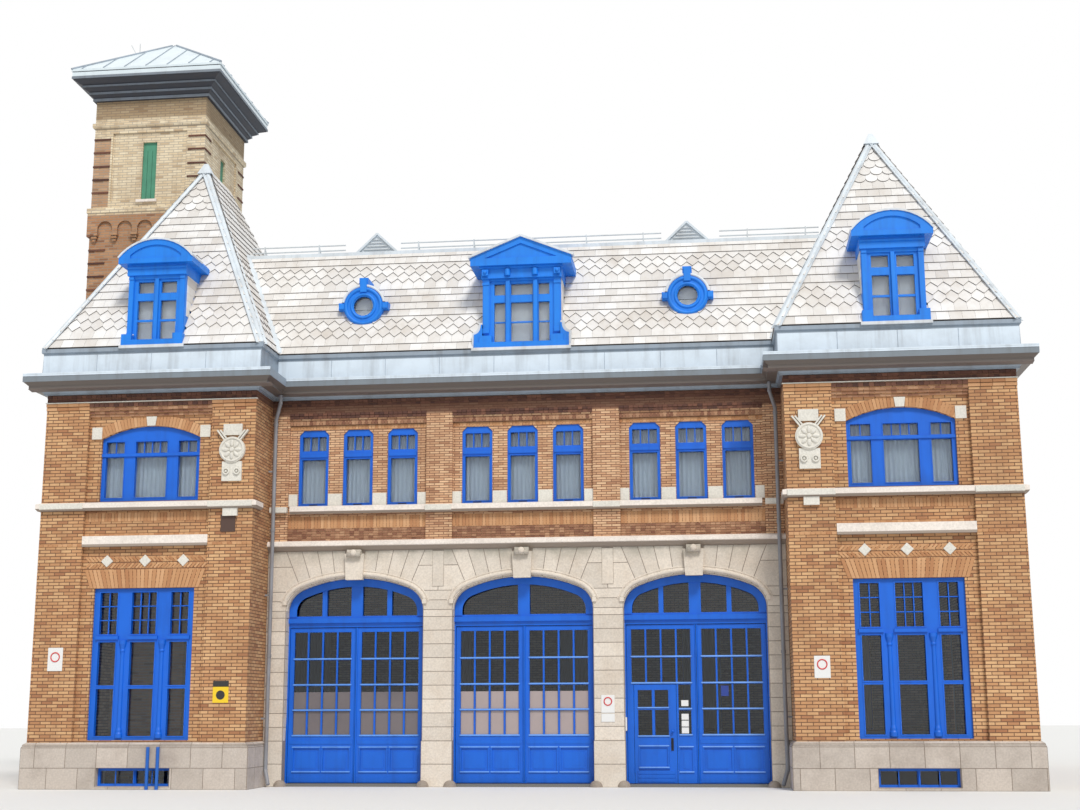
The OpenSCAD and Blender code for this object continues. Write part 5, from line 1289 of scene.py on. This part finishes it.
corbels = []
corbel_pitch, corbel_foot, corbel_course = 0.545, 13.84, 0.072
for i in range(-3, 4):
    x, y = [middle + (i - 0.5) * corbel_pitch for middle in (tower_mid.x, tower_mid.y)]
    for k, (half, out) in enumerate(((0.045, 0.05), (0.07, 0.08), (0.095, 0.11))):
        z = corbel_foot + k * corbel_course
        if tower_low.x + 0.2 < x < tower_side - 0.1:
            corbels.append(block(x, half, tower_face - out, tower_face + 0.02, z, z + 0.062))
        if tower_low.y + 0.2 < y < tower_high.y - 0.2:
            corbels.append(box(tower_side - 0.02, tower_side + out, y - half, y + half, z, z + 0.062))
boxes("tower_corbels", corbels, tower_bricks, "tower_brick")

shutter_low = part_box("tower_shutter")[0]
planks = [box(x, x + 0.118, shutter_low.y - 0.02, shutter_low.y + 0.01, shutter_low.z + 0.02, 16.36)
          for x in (tower_mid.x - 0.19 + k * 0.13 for k in range(3))]
boxes("shutter_planks", planks, shutter_green, "green_wood")
boxes("shutter_sill", [block(tower_mid.x, 0.28, tower_face - 0.05, tower_face + 0.04, shutter_low.z - 0.07,
                             shutter_low.z)], ledge_stone, "tower_brick")
mast = bmesh.new()
mast_foot = Vector((tower_mid.x - 0.95, tower_mid.y - 0.3, 19.0))
for a, b in (((0, 0, 0), (0, 0, 1.05)), ((0, 0, 0.55), (-0.25, 0, 1.02)), ((-0.55, 0, 0.62), (0.05, 0, 0.60))):
    rod(mast, mast_foot + Vector(a), mast_foot + Vector(b), 0.012, 8)
piece("tower_antenna", mast, rail_metal, "rail_metal")

# Bay doors
# Three pairs of wooden leaves painted bright blue, hung on jamb posts: boarded and panelled feet, four rows of
# dark panes with sloping weather bars between them, and a wicket door in the third bay's left leaf.
dress("door_posts fanlight_frames", blue_paint)


opening_half, opening_spring, opening_flat, opening_haunch = 1.62, 3.83, 3.3, 0.56


def arch_points(grown, steps):
    """Points of the basket arch's curve, grown by a distance, from the right spring to the left one."""
    flat, tight = opening_flat + grown, opening_haunch + grown
    turns = [k * (pi / 2 - flat_reach) / steps for k in range(steps)]
    half = [(opening_half + grown, opening_spring)]
    half += [(haunch_x + tight * cos(t), haunch_z + tight * sin(t)) for t in turns]
    leans = [flat_reach * (1 - 2 * k / steps) for k in range(steps + 1)]
    return half + [(flat * sin(a), flat_centre + flat * cos(a)) for a in leans] + [(-x, z) for x, z in reversed(half)]


head_boards = bmesh.new()
outer, inner = arch_points(-0.015, 10), arch_points(-0.19, 10)
for bay in bays:
    rings = [[head_boards.verts.new((bay + x, y, z)) for x, z in ring] for ring in (outer, inner)
             for y in (0.25, 0.275)]
    for i in range(len(outer) - 1):
        for near, far in ((0, 2), (2, 3), (3, 1), (1, 0)):
            head_boards.faces.new([rings[near][i], rings[near][i + 1], rings[far][i + 1], rings[far][i]])
    for i in (0, len(outer) - 1):
        head_boards.faces.new([rings[k][i] for k in (0, 2, 3, 1)])
piece("fanlight_head_boards", head_boards, blue_paint, "blue_wood")
pale_screen = painted("pale_screen", (0.39, 0.32, 0.31), 0.25, (0.26, 0.22, 0.22), 0.25, 0.1)
dull_screen = painted("dull_screen", (0.17, 0.145, 0.15), 0.2, (0.10, 0.09, 0.10), 0.5, 0.1)
for leaf in ("bay1_left", "bay1_right", "bay2_left", "bay2_right", "bay3_left", "bay3_right"):
    dress(leaf + "_leaf", blue_paint)
    dress(leaf + "_glass", door_pane)
dress("wicket_door", blue_paint)
dress("wicket_glass", door_pane)
# The weather bars' lighter blue is a painted highlight of the sun on their sloping tops
weather_bar_highlight_blue = painted("weather_bar_highlight_blue", (0.10, 0.29, 0.76), 0.45, (0.03, 0.12, 0.40), 0.4, 0.4)
leaf_face = 0.30
cols = [(-1.466 + i * 0.345, -1.16 + i * 0.345) for i in range(4)]
rows = [(1.140, 1.680), (1.714, 2.250), (2.288, 2.840), (2.878, 3.480)]
foot_panels = ((-1.440, -0.830), (-0.740, -0.130))


def door_frame(x0, x1, z0, z1):
    """A bolection moulding round a panel of a leaf."""
    return sash(x0, x1, z0, z1, leaf_face - 0.016, leaf_face + 0.004, 0.03)


def weather_bar(x0, x1, z, out=0.018, high=0.034):
    """A bar under a row of panes whose top slopes out and catches the light."""
    return turned(((x0 + x1) / 2, leaf_face - out / 2 + 0.004, z), radians(-24), "X", (x1 - x0, out + 0.010, high))


for bay, number in zip(bays, (1, 2, 3)):
    for side, half in ((-1, "left"), (1, "right")):
        wicketed = number == 3 and half == "left"
        places, sills = [], []
        for j, (z0, z1) in enumerate(rows):
            if wicketed and j < 2:
                sills.append(weather_bar(cols[3][0] + 0.015, cols[3][1] + 0.005, z0 - 0.014))
                continue
            sills.append(weather_bar(cols[0][0] - 0.02, cols[3][1] + 0.02, z0 - 0.014))
            for x0, x1 in cols:
                places += sash(x0, x1, z0, z1, leaf_face - 0.006, leaf_face + 0.012, 0.012)
        for x0, x1 in ((-0.40, foot_panels[1][1]),) if wicketed else foot_panels:
            places += door_frame(x0, x1, 0.32, 0.84)
            sills += [weather_bar(x0 - 0.03, x1 + 0.03, z, 0.022, 0.026) for z in (0.315, 0.865)]
            places.append(box(x0 + 0.07, x1 - 0.07, leaf_face + 0.006, leaf_face + 0.02, 0.39, 0.77))
        if not wicketed:
            places.append(box(-1.54, -0.06, leaf_face - 0.012, leaf_face + 0.004, 0.94, 1.02))
            places.append(box(-1.54, -0.06, leaf_face - 0.008, leaf_face + 0.004, 0.09, 0.20))
        turn = Matrix.Translation((bay, 0, 0)) @ Matrix.Diagonal((-side, 1, 1, 1))
        body = f"bay{number}_{half}"
        boxes(f"{body}_mouldings", [turn @ p for p in places], blue_paint, "blue_wood", body)
        boxes(f"{body}_weather_bars", [turn @ p for p in sills], weather_bar_highlight_blue, "blue_wood", body)
        if number < 3:
            screens = [turn @ box(x0 + 0.004, x1 - 0.004, leaf_face + 0.026, leaf_face + 0.029, z0, z1)
                       for x0, x1 in cols for z0, z1 in ((1.145, 1.675), (1.72, 2.11))]
            boxes(f"{body}_screens", screens, pale_screen if number == 2 else dull_screen, "door_glass", body)

# Wicket fittings
# Mouldings and weather bars round the wicket's panes and panel, boards over its kick space, and a dark pull
# handle on a plate.
wicket_trim = [strip for x0, x1 in ((-1.333, -1.018), (-0.954, -0.648)) for z0, z1 in ((1.12, 1.68), (1.74, 2.12))
               for strip in sash(bays[2] + x0, bays[2] + x1, z0, z1, leaf_face - 0.006, leaf_face + 0.004, 0.012)]
wicket_trim += door_frame(bays[2] - 1.30, bays[2] - 0.68, 0.42, 0.86)
boxes("wicket_mouldings", wicket_trim, blue_paint, "blue_wood", body="wicket")
kick_boards = [box(bays[2] - 1.36, bays[2] - 0.53, leaf_face - 0.012, leaf_face + 0.004, 0.10 + 0.085 * k,
                   0.178 + 0.085 * k) for k in range(3)]
boxes("wicket_kick_boards", kick_boards, blue_paint, "blue_wood", body="wicket", bevel=0.004)
wicket_sills = [weather_bar(bays[2] - 1.345, bays[2] - 0.636, z, 0.020, 0.028) for z in (1.10, 1.725)]
wicket_sills += [weather_bar(bays[2] - 1.33, bays[2] - 0.65, z, 0.020, 0.026) for z in (0.415, 0.885)]
boxes("wicket_weather_bars", wicket_sills, weather_bar_highlight_blue, "blue_wood", body="wicket")
handle_x, handle_y = bays[2] - 0.575, leaf_face - 0.045
pull = bmesh.new()
rod(pull, (handle_x, handle_y, 0.82), (handle_x, handle_y, 1.02), 0.011, 10)
for z in (0.84, 1.00):
    rod(pull, (handle_x, handle_y, z), (handle_x, leaf_face + 0.004, z), 0.009, 8)
boxes("wicket_handle_plate", [block(handle_x, 0.028, leaf_face - 0.006, leaf_face + 0.002, 0.78, 1.06)], dark_iron,
      "rail_metal", body="wicket")
piece("wicket_handle", pull, dark_iron, "rail_metal", body="wicket", smooth=True)

# Plates and small fittings
# Plain painted metal plates screwed to the walls and cards behind the door panes, all without lettering, and the
# pale switch box on the jamb beside the wicket.
plate_white, plate_yellow, plate_black, plate_red, plate_brown, plate_blue = [
    plain_material("plate_" + name, colour, roughness) for name, colour, roughness in (
        ("white", (0.78, 0.78, 0.77), 0.45), ("yellow", (0.85, 0.58, 0.02), 0.45),
        ("black", (0.025, 0.025, 0.025), 0.45), ("red", (0.60, 0.04, 0.04), 0.45),
        ("brown", (0.075, 0.04, 0.03), 0.6), ("blue", (0.02, 0.05, 0.28), 0.4))]
on_wall = (pavilion_face - proud, pavilion_face + 0.002)
boxes("yellow_plate", [box(-6.78, -6.42, *on_wall, 1.87, 2.22)], plate_yellow, "rail_metal", bevel=0.004)
boxes("black_plate", [box(-6.78, -6.42, *on_wall, 2.225, 2.35)], plate_black, "rail_metal", bevel=0.004)
boxes("white_plates", [box(-10.66, -10.31, *on_wall, 2.59, 3.11), box(6.44, 6.78, *on_wall, 2.33, 2.80),
                       box(1.78, 2.08, -0.022, -0.006, 1.62, 2.01), box(1.78, 2.08, -0.022, -0.006, 1.42, 1.60)],
      plate_white, "rail_metal", bevel=0.004)
rings = bmesh.new()
for x, y, z, radius in ((-10.485, pavilion_face - 0.014, 2.90, 0.10), (6.61, pavilion_face - 0.014, 2.62, 0.10),
                        (1.93, -0.024, 1.87, 0.085)):
    add_ring(rings, (x, y, z), radius, 0.013, 8, 28)
piece("plate_rings", rings, plate_red, "rail_metal", smooth=True)
boxes("brown_plate", [box(-6.74, -6.40, pavilion_face - 0.02, pavilion_face + 0.002, 5.68, 6.08)], plate_brown,
      "rail_metal", bevel=0.004)
yellow_disc = bmesh.new()
rod(yellow_disc, (-6.60, pavilion_face - 0.016, 2.04), (-6.60, pavilion_face - 0.008, 2.04), 0.10, 28)
piece("yellow_plate_disc", yellow_disc, plate_black, "rail_metal")
behind_pane = (leaf_face + 0.012, leaf_face + 0.026)
boxes("blue_plate", [block(bays[2] + 0.62, 0.085, *behind_pane, 1.98, 2.21)], plate_blue, "blue_wood",
      body="bay3_right")
boxes("pane_cards", [block(bays[2] - 0.28, 0.08, *behind_pane, z, z + 0.13) for z in (1.16, 1.31, 1.46, 1.76)],
      plate_white, "blue_wood", body="bay3_left")
boxes("switch_box", [block(bays[2] - opening_half, 0.04, 0.18, 0.268, 1.22, 1.52)], plate_white, "rail_metal",
      bevel=0.006)

# Pipes and floors
# Cast downspouts and standpipes in grey paint, and timber and concrete floors seen through the doors.
pipe_paint = painted("pipe_paint", (0.27, 0.28, 0.31), 0.5, (0.12, 0.09, 0.07), 0.4, 0.4)
second_colour_band(pipe_paint, "X", -8.4, -7.7, (0.01, 0.11, 0.46))
dress("pipes", pipe_paint)
dress("ground_floor pavilion_floors", plain_material("concrete", (0.17, 0.165, 0.155), 0.9))
dress("upper_floor attic_floor", plain_material("boards_brown", (0.085, 0.058, 0.04), 0.8))
